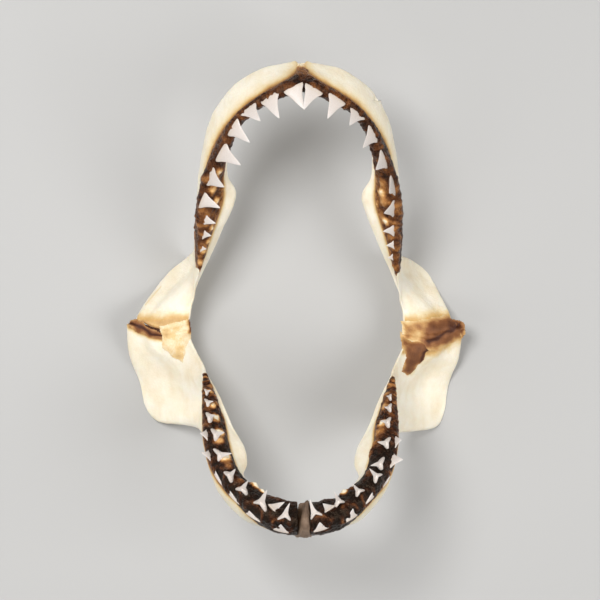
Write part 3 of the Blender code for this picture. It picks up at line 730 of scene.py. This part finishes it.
def tooth_material(name):
    """Enamel: off-white with a faint grey rose, streaked along the crown, dull at the root."""
    look = Look(name)
    streaks = look.noise(300, 3.0)
    specks = look.noise(2200, 3.0)
    rise = look.varied(look.attribute("rise"), (streaks, 0.25))
    enamel = look.ramp(rise, (
        (0.0, (0.46, 0.33, 0.20)), (0.16, (0.60, 0.50, 0.40)), (0.34, (0.66, 0.59, 0.54)),
        (0.7, (0.71, 0.65, 0.61)), (1.0, (0.78, 0.73, 0.70))))
    speckled = look.ramp(specks, ((0.3, (0.90, 0.87, 0.84)), (0.65, WHITE)))
    look.bump(look.math("ADD", streaks, specks), 0.00012)
    look.shade(colour=look.multiplied(0.5, enamel, speckled),
               rough=look.scaled_up(specks, 0.2, 0.18),
               inner=0.1, inner_radius=(1.0, 0.7, 0.5), inner_scale=0.0015)
    return look.made


def tissue_material(name, stops, patchy):
    """Dried connective tissue: a ramp of browns over the mesh's own tone, wrinkled."""
    look = Look(name)
    broad = look.noise(130, 4.0)
    fine = look.noise(800, 5.0)
    tone = look.varied(look.attribute("tone"), (broad, patchy), (fine, 0.2))
    look.bump(look.scaled_up(broad, 0.8, look.math("MULTIPLY", fine, 0.5)), 0.0009)
    look.shade(colour=look.ramp(tone, stops), rough=look.scaled_up(fine, 0.3, 0.4), gloss=0.3)
    return look.made


def floor_material(name):
    """A plain pale floor."""
    look = Look(name)
    look.shade(colour=(0.49, 0.487, 0.48, 1.0), rough=0.9)
    return look.made


# The cartilages

def bone_spans():
    """The span value of each column of the cartilage's mesh."""
    return np.concatenate([span + np.arange(steps) / steps
                           for span, steps in enumerate(BONE_STEPS)])


def bone(name, half):
    """The cartilage of one half, with its stains and painted shade, as a piece and as its grid of
    points.
    """
    places = np.linspace(0, half.last, half.last * ROWS_PER_STATION + 1)
    spans = bone_spans()
    grid = half.grid(places, spans)
    normals = turned_out(grid_normals(grid), grid - grid.mean(axis=1, keepdims=True))
    seed = 1 + half.upper + 2 * (half.side > 0)
    swell = 0.55 * roughness_at(grid, 24, seed) + 0.16 * roughness_at(grid, 6, seed + 5)
    in_gum = np.clip(1 - np.abs(spans - TOOTH_LINE), 0, 1) * 2
    calm = np.clip(1 - in_gum, 0.15, 1)[None, :] * np.clip(places / 0.5, 0.1, 1)[:, None]
    if half.upper:
        swell = swell + crest_marks(half, grid, spans)
    grid = grid + (swell * calm)[:, :, None] * normals
    if half.upper:
        grid = grid + middle_horn(grid, spans)
    stain_and_shade = bone_stain_and_shade(half, grid, places, spans)
    return tube(name, grid, {"stain_and_shade": stain_and_shade}), grid


def near_crest(spans, reach):
    """One at the crest's edge, falling to nothing within a reach counted in spans."""
    apart = np.minimum(np.abs(spans), np.abs(SPANS - spans))
    return np.clip(1 - apart / reach, 0, 1)


def middle_horn(grid, spans):
    """How far the crest rises to a horn beside the notch at the middle line."""
    out = np.abs(grid[:, :, 0])
    rise = HORN_HEIGHT * np.exp(-((out - HORN_OUT) / HORN_WIDTH) ** 2)
    rise = rise - NOTCH_DEPTH * np.exp(-(out - NOTCH_OUT) / NOTCH_WIDTH)
    share = near_crest(spans, 1.4)[None, :] ** 1.5
    way = np.array((0.0, 1.0, -0.15))
    return (rise * share)[:, :, None] * way


def crest_marks(half, grid, spans):
    """The chip and its spur in the left crest, as a rise of the surface."""
    if half.side < 0:
        return 0.0
    offset = seen(grid) - np.array(CHIP_SPOT)
    run = offset @ unit(np.array(CHIP_WAY))
    apart = np.linalg.norm(offset, axis=2)
    near = near_crest(spans, 1.3)[None, :] * np.exp(-(apart / CHIP_REACH) ** 4)
    return near * sum(height * np.exp(-((run - place) / width) ** 2)
                      for height, place, width in CHIP_BELLS)


def bone_stain_and_shade(half, grid, places, spans):
    """How stained the cartilage is along the gum, at the middle line and in the joint, with painted
    shade towards the gum line and along one fold.
    """
    line = grid[:, np.argmin(np.abs(spans - GUM_FROM))]
    inner = grid[:, np.argmin(np.abs(spans - GUM_TO))]
    to_line = np.linalg.norm(grid - line[:, None], axis=2)
    to_inner = np.linalg.norm(grid - inner[:, None], axis=2)
    blotch = 1 + 0.35 * roughness_at(grid, 11, 61)
    gum_here = np.clip((half.gum_end - places) / 0.6, 0, 1)[:, None]
    middle = np.exp(-(places / 0.9) ** 2)[:, None]
    front = np.clip(1 - np.abs(spans - 2.5) / 2.6, 0, 1)[None, :] > 0
    reach = (5.0 + 4.0 * middle if half.upper else 3.0) * blotch
    stain_and_shade = 0.52 * np.exp(-(to_line / reach) ** 1.2) * front
    # A broad painted shade, darker towards the gum line.
    stain_and_shade = stain_and_shade + 0.12 * np.exp(-to_line / 16.0) * front
    stain_and_shade = np.maximum(stain_and_shade, 0.5 * np.exp(-(to_inner / (2.2 * blotch)) ** 1.3)) * gum_here
    under = ((spans > GUM_FROM) & (spans < GUM_TO))[None, :]
    stain_and_shade = np.where(under, np.maximum(stain_and_shade, 0.47 * gum_here), stain_and_shade)
    if half.upper:
        split = np.exp(-(np.abs(grid[:, :, 0]) / (5.5 * blotch))) * (spans < 2.2)[None, :]
        stain_and_shade = np.maximum(stain_and_shade, 0.62 * split)
    end = grid[-1, spans <= FRONT_TO][None]
    to_end = np.linalg.norm(grid[:, :, None] - end[:, None], axis=3).min(axis=2)
    deep, fade = (0.5, 4.5) if half.upper else (0.4, 2.6)
    stain_and_shade = np.maximum(stain_and_shade, deep * np.exp(-(to_end / (fade * blotch)) ** 1.7))
    spots = seen(grid)
    ragged = 1 + 0.4 * roughness_at(grid, 9, 67)
    # Smears of dried tissue, and the painted shade line along one fold.
    for line, radius, depth in SMEARS_AND_FOLD_SHADE[half.upper, half.side]:
        apart = line_distance(spots, line)
        bell = depth * np.exp(-(apart / (radius * ragged)) ** 2) * (spans < FRONT_TO)[None, :]
        stain_and_shade = np.maximum(stain_and_shade, bell)
    return stain_and_shade


# The gum

class Gum:
    """The dried gum of one half, as a sheet on the cartilage's oral edge."""

    def __init__(self, half, lumps, seats):
        self.half = half
        rows = int(half.gum_end * GUM_ROWS_PER_STATION) + 1
        self.places = np.linspace(0, half.gum_end, rows)
        self.spans = np.linspace(GUM_FROM, GUM_TO, 2 * GUM_STEPS + 1)
        self.share = (self.spans - GUM_FROM) / (GUM_TO - GUM_FROM)
        self.grid = half.grid(self.places, self.spans)
        middles = half.grid(self.places, bone_spans()).mean(axis=1, keepdims=True)
        self.normals = turned_out(grid_normals(self.grid, closed=False), self.grid - middles)
        self.cells = cells_at(self.grid, CELL_SIZE, 3 + half.side)
        self.thickness = self.plain_thickness()
        self.amber = np.minimum(self.plain_amber(), AMBER_CAP)
        for lump in lumps:
            self.add_lump(*lump)
        for first, second, *_ in seats:
            self.add_collar((np.array(first) + np.array(second)) / 2)

    def surface(self):
        """The outer surface, as a grid of points."""
        return self.grid + self.thickness[:, :, None] * self.normals

    def seen_at(self, spot):
        """The row, column and point of the surface that is seen nearest a picture point."""
        points = self.surface()
        apart = np.linalg.norm(seen(points) - np.array(spot), axis=2)
        apart = np.where(self.normals[:, :, 2] > 0.05, apart, apart + 50)
        row, column = np.unravel_index(np.argmin(apart), apart.shape)
        return row, column, points[row, column]

    def apart_from(self, spot):
        """How far each point of the surface is from the one seen at a picture point."""
        return np.linalg.norm(self.surface() - self.seen_at(spot)[2], axis=2)

    def plain_thickness(self):
        """Thickness before its lumps: a hump over the oral edge that dies out at its borders."""
        upper = self.half.upper
        hump = np.sin(np.pi * np.clip(self.share, 0, 1)) ** 0.6
        taper = np.sqrt(np.clip((1 - self.places / self.half.gum_end) / GUM_TAPER, 0, 1))
        thick = GUM_THICK * taper[:, None] * hump[None, :] * 0.93
        groove = np.exp(-(np.abs(self.grid[:, :, 0]) / (3.0 if upper else 5.0)) ** 2)
        thick = thick * (1 - (0.15 if upper else 0.5) * groove)
        seed = 11 + upper + 2 * (self.half.side > 0)
        rugged = (0.9 * roughness_at(self.grid, 9, seed)
                  + 0.8 * roughness_at(self.grid, 3.2, seed + 9))
        rugged = rugged + 1.5 * (self.cells - 0.5) * taper[:, None]
        return thick + rugged * (0.35 + 0.65 * hump[None, :]) + 0.1

    def plain_amber(self):
        """How amber the gum is before its lumps: most at its borders and towards the joint."""
        upper = self.half.upper
        share = self.share
        border = np.exp(-(share / 0.14) ** 2) + 0.9 * np.exp(-((1 - share) / 0.12) ** 2)
        back = np.clip(self.places / self.half.gum_end - 0.45, 0, 1) * (0.26 if upper else 0.85)
        middle = 0.14 * np.exp(-np.abs(self.grid[:, :, 0]) / 9.0) * upper
        patches = 0.16 * roughness_at(self.grid, 8, 71)
        spread = (self.cells - 0.55) * (0.14 + 1.1 * back[:, None]) + patches
        edge = 0.26 * border[None, :]
        if upper and self.half.side > 0:
            edge = edge - 0.14 * (share < 0.35)[None, :] * np.clip(self.places - 3.5, 0, 1)[:, None]
        return (0.37 if upper else 0.13) + edge + back[:, None] + spread - middle

    def add_lump(self, spot, radius, height, amber):
        """Raise a lump and tint it."""
        apart = self.apart_from(spot)
        glow = np.exp(-(apart / (1.15 * radius)) ** 3)
        self.thickness = self.thickness + height * np.exp(-(apart / radius) ** 2)
        # The lightest lumps reach the cream at the top of the gum's ramp, partly painted highlight.
        self.amber = self.amber * (1 - glow) + (amber + LUMP_GLOW) * glow

    def add_collar(self, spot):
        """Swell the gum round the base of a tooth."""
        bell = np.exp(-(self.apart_from(spot) / COLLAR_RADIUS) ** 2)
        self.thickness = self.thickness + COLLAR_HEIGHT * bell
        self.amber = self.amber + 0.10 * bell

    def add_arc(self, first, second, tip):
        """Bury a tooth under a brown arc of gum."""
        apart = self.apart_from((np.array(first) + np.array(second)) * 0.3 + np.array(tip) * 0.4)
        size = 0.62 * math.dist(first, second)
        ring = np.exp(-((apart - size) / 2.0) ** 2) * (1 + 1.2 * roughness_at(self.grid, 4, 73))
        self.amber = self.amber + 0.20 * ring
        self.thickness = self.thickness + 0.5 * ring - 0.9 * np.exp(-(apart / size) ** 4)

    def piece(self, name):
        """The gum's mesh."""
        used, faces = lattice_faces(np.ones(self.amber.shape, dtype=bool))
        points = np.concatenate(((self.grid - self.normals)[used], self.surface()[used]))
        return mesh_piece(name, points, faces, {"amber": np.tile(self.amber[used], 2)})


# The teeth

def crown_rings(base, row_way, rise, face, half_width, thick, outline, draw, start):
    """Rings of a crown from its base to its tip, with a serrated edge, and each ring's height."""
    height = float(np.linalg.norm(rise))
    shares = start + (1 - start) * np.linspace(0, 1, CROWN_RINGS) ** 0.9
    widths = half_width * np.interp(shares, *zip(*outline))
    phase = draw.uniform(0, 6.28)
    skew = draw.uniform(-0.04, 0.04)
    turns = 2 * math.pi * np.arange(CROWN_SIDES) / CROWN_SIDES
    through = np.sin(turns)
    lens = np.copysign(np.abs(through) ** 1.25, through) * np.where(through > 0, 0.42, 0.85)
    rings = []
    for share, wide in zip(shares, widths):
        wave = abs(((share * height / SERRATION_PITCH + phase) % 1.0) - 0.5) * 2
        fade = min(1.0, (1 - share) * 6) * min(1.0, share * 8)
        edge = wide + SERRATION * (wave - 0.5) * fade
        deep = thick * (1 - share) ** 0.75 * (0.92 + 0.08 * math.cos(share * 5))
        centre = base + rise * share + row_way * skew * height * math.sin(math.pi * share)
        rings.append(centre + np.outer(np.cos(turns), row_way * edge) + np.outer(lens, face * deep))
    return np.array(rings), np.repeat(shares[:, None], CROWN_SIDES, axis=1)


def root_rings(base, row_way, rise, face, half_width, thick):
    """Rings of a root that arches from one lobe to the other under a narrow crown."""
    turns = np.linspace(0, 2 * math.pi, ROOT_SIDES, endpoint=False)
    rings = []
    for place in np.linspace(-1, 1, ROOT_RINGS):
        bend = abs(place) ** 1.35
        centre = (base + row_way * half_width * 0.92 * place
                  + rise * (0.24 * (1 - bend) - 0.03 * bend))
        size = (1 - 0.62 * abs(place) ** 2.2) * (1.0 if abs(place) < 0.97 else 0.5)
        upward = unit(np.cross(face, unit(row_way * half_width - rise * 0.36 * place)))
        rings.append(centre + np.outer(np.cos(turns), upward * size * half_width * 0.27)
                     + np.outer(np.sin(turns), face * size * thick * 0.9))
    return np.array(rings)


def tooth(name, gum, seat, narrow, draw, look, outer):
    """A tooth by where it is seen, standing on the gum or, in the outer row, buried in it."""
    first, second, tip_spot, ratio = seat
    row, column, point = gum.seen_at((np.array(first) + np.array(second)) / 2)
    normal = gum.normals[row, column]

    # The way along the row, as the picture shows it, and the base's true width.
    row_way = unit(gum.grid[max(row - 6, 0), column]
                   - gum.grid[min(row + 6, len(gum.grid) - 1), column])
    flat_way = math.hypot(row_way[0], row_way[1])
    span = np.array(second, dtype=float) - np.array(first)
    width = float(np.linalg.norm(span)) * (1 - point[2] / CAMERA[2]) / max(flat_way, 0.6)
    picture_way = unit(np.array((span[0], -span[1], 0.0)))
    sign = 1.0 if float(np.dot(row_way[:2], picture_way[:2])) > 0 else -1.0
    row_way = unit(np.array((picture_way[0] * flat_way, picture_way[1] * flat_way,
                             sign * row_way[2])))

    # The tip, at its height from the base on the camera's line of sight.
    base = point - normal * (0.3 if outer else 0.9)
    reach = ratio if outer else ratio * width
    look_way = sight(tip_spot)
    closest = float(np.dot(base - CAMERA, look_way))
    apart = float(np.linalg.norm(CAMERA + look_way * closest - base))
    reach = max(reach, apart * 1.04)
    tip = CAMERA + look_way * (closest - math.sqrt(max(reach ** 2 - apart ** 2, 0.0)))
    if outer and ratio < STANDING_FROM:
        end_row, end_column, end_point = gum.seen_at(tip_spot)
        tip = end_point + ratio * gum.normals[end_row, end_column]
        base = base + normal

    rise = tip - base
    face = unit(np.cross(row_way, rise))
    half = gum.half
    outward = normal if outer else np.array((half.side, 0.6 if half.upper else -0.6, 0.3))
    if float(np.dot(face, outward)) < 0:
        face = -face
    thick = width * (0.22 if narrow else 0.17)
    rings, shares = crown_rings(base, row_way, rise, face, width / 2, thick,
                                NARROW if narrow else BROAD, draw, 0.14 if narrow else -0.06)
    crown = tube(name, rings, {"rise": 0.25 + 0.75 * np.clip(shares, 0, 1)})
    if narrow:
        roots = root_rings(base, row_way, rise, face, width / 2, thick)
        join(crown, tube(name + "_root", roots, {"rise": np.full(roots.shape[:2], 0.40)}))
    dress(crown, look)
    return crown


def join(first, second):
    """Add the second object's mesh to the first's."""
    shape = bmesh.new()
    for item in (first, second):
        shape.from_mesh(item.data)
    shape.to_mesh(first.data)
    shape.free()
    bpy.data.objects.remove(second, do_unlink=True)
    first.data.shade_smooth()


def dress(piece, look):
    """Give a piece its material and slot, and let it ride on the jaw."""
    piece.data.materials.clear()
    piece.data.materials.append(look)
    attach(piece, "root")


# The middle line and the joints

def pad(name, half, profile, drift, look):
    """The pad at the middle line, by its width, swell and tone along the section."""
    spans = bone_spans()
    stops, *columns = zip(*profile)
    wide, swell, tone = (np.interp(spans, stops, column) for column in columns)
    ring = half.grid([0.0], spans)[0]
    normals = grid_normals(half.grid([0.0, 0.05], spans))[0]
    normals = turned_out(normals, ring - ring.mean(axis=0)) * np.array((0, 1, 1))
    normals = unit_rows(normals)
    ring = ring + swell[:, None] * normals
    rings = []
    for share in np.linspace(-1, 1, PAD_RINGS):
        face = ring - normals * (1.8 * share ** 4 * (0.4 + np.clip(swell, 0, 3)))[:, None]
        face[:, 0] = share * wide + drift * np.clip((spans - 2) / 2, 0, 1) * (spans < 6)
        rings.append(face)
    rings = np.array(rings)
    bumps = (1.3 * roughness_at(rings, 3.4, 31)
             + 0.35 * roughness_at(rings * np.array((1, 0.25, 0.25)), 1.5, 37))
    rings = rings + bumps[:, :, None] * normals[None]
    rings[:, :, 0] += roughness_at(rings, 6, 33) * 1.2
    tone = np.broadcast_to(tone, rings.shape[:2])
    item = tube(name, rings, {"tone": tone, "amber": tone})
    dress(item, look)
    return item


def cord(name, upper_half, lower_half, look):
    """The cord of dried ligament in the crease between the two jaws, and its rings."""
    spans = np.linspace(0, FRONT_TO, CORD_RINGS)
    edges = [half.grid([half.last], spans)[0] for half in (upper_half, lower_half)]
    path = (edges[0] + edges[1]) / 2 + np.array((0, 0, -0.6))
    turns = np.linspace(0, 2 * math.pi, CORD_SIDES, endpoint=False)
    rings = []
    for index, centre in enumerate(path):
        way = unit(path[min(index + 1, len(path) - 1)] - path[max(index - 1, 0)])
        rise = unit(np.cross(way, (0, 1, 0)))
        beside = unit(np.cross(rise, way))
        radius = CORD_RADIUS * (0.55 + 0.45 * math.sin(math.pi * index / (len(path) - 1)))
        rings.append(centre + radius * (np.outer(np.cos(turns), rise)
                                        + 1.25 * np.outer(np.sin(turns), beside)))
    rings = np.array(rings)
    swell = 0.9 * roughness_at(rings, 5, 41)[:, :, None]
    rings = rings + swell * unit_rows(rings - rings.mean(axis=1, keepdims=True))
    item = tube(name, rings, {"tone": np.full(rings.shape[:2], CORD_TONE)})
    dress(item, look)
    return item, rings


def tree_of(rings):
    """A search tree over a closed piece's rings of points."""
    return BVHTree.FromPolygons([Vector(point) for point in with_ends(rings)],
                                tube_faces(*rings.shape[:2]))


def line_distance(spots, line):
    """How far each picture point lies from a line of picture points."""
    nearest = np.full(spots.shape[:-1], np.inf)
    for start, end in zip(np.array(line[:-1], dtype=float), np.array(line[1:], dtype=float)):
        run = end - start
        share = np.clip((spots - start) @ run / (run @ run), 0, 1)
        apart = np.linalg.norm(spots - start - share[..., None] * run, axis=-1)
        nearest = np.minimum(nearest, apart)
    return nearest


def edge_distance(spots, outline):
    """How far inside a closed outline each picture point lies, negative outside."""
    closed = (*outline, outline[0])
    inside = np.zeros(spots.shape[:-1], dtype=bool)
    for start, end in zip(closed, closed[1:]):
        rise = end[1] - start[1]
        if rise:
            crosses = (start[1] > spots[..., 1]) != (end[1] > spots[..., 1])
            at = start[0] + (spots[..., 1] - start[1]) * (end[0] - start[0]) / rise
            inside ^= crosses & (spots[..., 0] < at)
    nearest = line_distance(spots, closed)
    return np.where(inside, nearest, -nearest)


def neighbours(values, fill):
    """A grid's values one row down, one row up, one column right and one column left."""
    held = np.pad(values, 1, **fill)
    return np.stack((held[:-2, 1:-1], held[2:, 1:-1], held[1:-1, :-2], held[1:-1, 2:]))


def carried_depth(ways, wanted, carriers):
    """How far along each line of sight the nearest carrier is, filled where there is none."""
    depth = np.full(wanted.shape, np.nan)
    for index in zip(*np.nonzero(wanted)):
        hits = [tree.ray_cast(Vector(CAMERA), Vector(ways[index])) for tree in carriers]
        found = [hit[3] for hit in hits if hit[0] is not None]
        if found:
            depth[index] = min(found)
    while np.isnan(depth).any():
        near = neighbours(depth, {"constant_values": np.nan})
        known = ~np.isnan(near)
        spread = np.where(known, near, 0).sum(axis=0) / np.maximum(known.sum(axis=0), 1)
        depth = np.where(np.isnan(depth) & known.any(axis=0), spread, depth)
    return depth


def drape(name, carriers, outline, thick, tones, crease, tints, look, seed):
    """A dried membrane that lies on what carries it, by its outline in the picture, with painted
    shade darkening its crease.
    """
    low = np.floor(np.min(outline, axis=0)) - 2
    high = np.ceil(np.max(outline, axis=0)) + 2
    columns, rows = ((high - low) / DRAPE_PITCH).astype(int)
    spots = np.stack(np.meshgrid(low[0] + np.arange(columns) * DRAPE_PITCH,
                                 low[1] + np.arange(rows) * DRAPE_PITCH), axis=-1)
    wander = np.array([[[noise.noise(Vector((x / 7, y / 7, seed + shift))) for shift in (0, 9)]
                        for x, y in row] for row in spots])
    inside = edge_distance(spots + DRAPE_WANDER * wander, outline)
    ways = np.array([[sight(spot) for spot in row] for row in spots])
    depth = carried_depth(ways, inside > -DRAPE_PITCH, carriers)
    smooth = depth.copy()
    for _ in range(6):
        mean = neighbours(smooth, {"mode": "edge"}).sum(axis=0) / 4
        smooth = np.minimum((smooth + mean) / 2, depth)
    fold = np.exp(-(line_distance(spots + 3.0 * wander, crease) / CREASE_WIDTH) ** 2)
    rise = thick * np.clip(inside / 6.0, 0, 1) * (1 + 0.45 * wander[..., 0]) * (1 - 0.55 * fold)
    over = CAMERA + ways * (smooth - rise + 0.1)[:, :, None]
    under = CAMERA + ways * (np.maximum(depth, smooth) + DRAPE_UNDER)[:, :, None]
    tone = tones[0] + (tones[1] - tones[0]) * np.clip(inside / 5.0, 0, 1) ** 0.7
    tone = tone + 0.16 * wander[..., 1]
    for spot, radius, change in tints:
        apart = np.linalg.norm(spots + DRAPE_WANDER * wander - np.array(spot), axis=-1)
        tone = tone + change * np.exp(-(apart / radius) ** 2)
    # Painted shade: the tone darkens along the crease.
    tone = np.minimum(tone, DRAPE_LIGHTEST) * (1 - 0.85 * fold)
    used, faces = lattice_faces(inside > 0)
    item = mesh_piece(name, np.concatenate((over[used], under[used])), faces,
                      {"tone": np.tile(tone[used], 2)})
    dress(item, look)
    return item


# The stage

def stage():
    """The floor, the lights and the camera."""
    mesh = bpy.data.meshes.new("floor")
    mesh.from_pydata([(FLOOR_REACH * x, FLOOR_REACH * y, 0) for x, y in FLOOR_CORNERS], [],
                     [(0, 1, 2, 3)])
    floor = placed("floor", mesh)
    floor.data.materials.append(floor_material("floor"))

    world = bpy.data.worlds.new("studio")
    world.use_nodes = True
    background = world.node_tree.nodes["Background"].inputs
    background["Color"].default_value = WORLD_COLOUR
    background["Strength"].default_value = WORLD_STRENGTH
    bpy.context.scene.view_settings.view_transform = "Standard"
    bpy.context.scene.world = world
    for name, place, size, power in LIGHTS:
        data = bpy.data.lights.new(name, "AREA")
        data.size = size
        data.energy = power
        light = placed(name, data)
        light.location = place
        light.rotation_euler = (-Vector(place)).to_track_quat("-Z", "Y").to_euler()

    eye = Vector((CAMERA + SETTLED) * MM)
    target = Vector((np.array((PICTURE_WIDTH / 2 - PICTURE_X, CAMERA[1], 0.0)) + SETTLED) * MM)
    data = bpy.data.cameras.new("camera")
    data.sensor_width = SENSOR
    data.lens = SENSOR * (target - eye).length / (PICTURE_WIDTH * MM)
    data.clip_start = 0.1
    data.clip_end = 50.0
    camera = placed("camera", data)
    backward = (eye - target).normalized()
    rightward = Vector((0, 1, 0)).cross(backward).normalized()
    upward = backward.cross(rightward)
    camera.matrix_world = Matrix.Translation(eye) @ Matrix(
        (rightward, upward, backward)).transposed().to_4x4()
    bpy.context.scene.camera = camera


def build():
    """Make every piece of the jaw."""
    draw = random.Random(SEED)
    looks = {
        "bone": bone_material("cartilage"),
        "gum": gum_material("dried_gum"),
        "tooth": tooth_material("enamel"),
        "pad": tissue_material("symphysis_tissue", (
            (0.1, (0.04, 0.022, 0.012)), (0.5, (0.21, 0.14, 0.095)),
            (0.9, (0.40, 0.29, 0.20))), 0.5),
        "ligament": tissue_material("ligament_tissue", (
            (0.1, (0.06, 0.016, 0.006)), (0.4, (0.24, 0.09, 0.03)), (0.6, (0.55, 0.30, 0.11)),
            (0.8, (0.78, 0.56, 0.27)), (0.97, (0.93, 0.85, 0.68))), 0.22),
    }
    teeth = {
        (True, -1): (UPPER_RIGHT_TEETH, (), (), UPPER_RIGHT_LUMPS),
        (True, 1): (UPPER_LEFT_TEETH, (), (), UPPER_LEFT_LUMPS),
        (False, -1): (LOWER_RIGHT_TEETH, LOWER_RIGHT_OUTER, LYING_RIGHT, LOWER_RIGHT_LUMPS),
        (False, 1): (LOWER_LEFT_TEETH, LOWER_LEFT_OUTER, LYING_LEFT, LOWER_LEFT_LUMPS),
    }
    halves = {}
    bones = {}
    for side, side_name in ((-1, "right"), (1, "left")):
        for upper, bone_name, row_name in ((True, "palatoquadrate", "upper"),
                                           (False, "meckel", "lower")):
            half = Half(upper, side)
            halves[upper, side] = half
            node = f"{bone_name}_{side_name}"
            cartilage, bones[upper, side] = bone(node + "_bone", half)
            dress(cartilage, looks["bone"])
            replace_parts(cartilage, node)

            standing, outer, lying, lumps = teeth[upper, side]
            gum = Gum(half, lumps, standing)
            for first, second, tip, lift in outer:
                if lift < STANDING_FROM:
                    gum.add_arc(first, second, tip)
            node = f"{row_name}_gum_{side_name}"
            skin = gum.piece(node + "_skin")
            dress(skin, looks["gum"])
            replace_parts(skin, node)

            for kind, seats, narrow in (("tooth", standing, not upper),
                                        ("outer_tooth", outer, False),
                                        ("lying_tooth", lying, False)):
                for index, seat in enumerate(seats):
                    crown = tooth(f"{row_name}_{kind}_{side_name}_{index + 1}", gum, seat,
                                  narrow, draw, looks["tooth"], kind != "tooth")
                    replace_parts(crown, node)

        node = f"joint_ligament_{side_name}"
        twist, rings = cord(node + "_cord", halves[True, side], halves[False, side],
                            looks["ligament"])
        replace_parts(twist, node)
        carriers = [tree_of(grid) for grid in (bones[True, side], bones[False, side], rings)]
        for index, shape in enumerate(LEFT_DRAPES if side > 0 else RIGHT_DRAPES):
            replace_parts(drape(f"{node}_membrane_{index + 1}", carriers, *shape,
                              looks["ligament"], 3.7 * index + side), node)
    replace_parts(pad("upper_symphysis_pad", halves[True, -1], UPPER_PAD, 0.0, looks["gum"]),
                "upper_symphysis")
    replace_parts(pad("lower_symphysis_pad", halves[False, -1], LOWER_PAD, LOWER_PAD_DRIFT,
                    looks["pad"]), "lower_symphysis")


build()
stage()
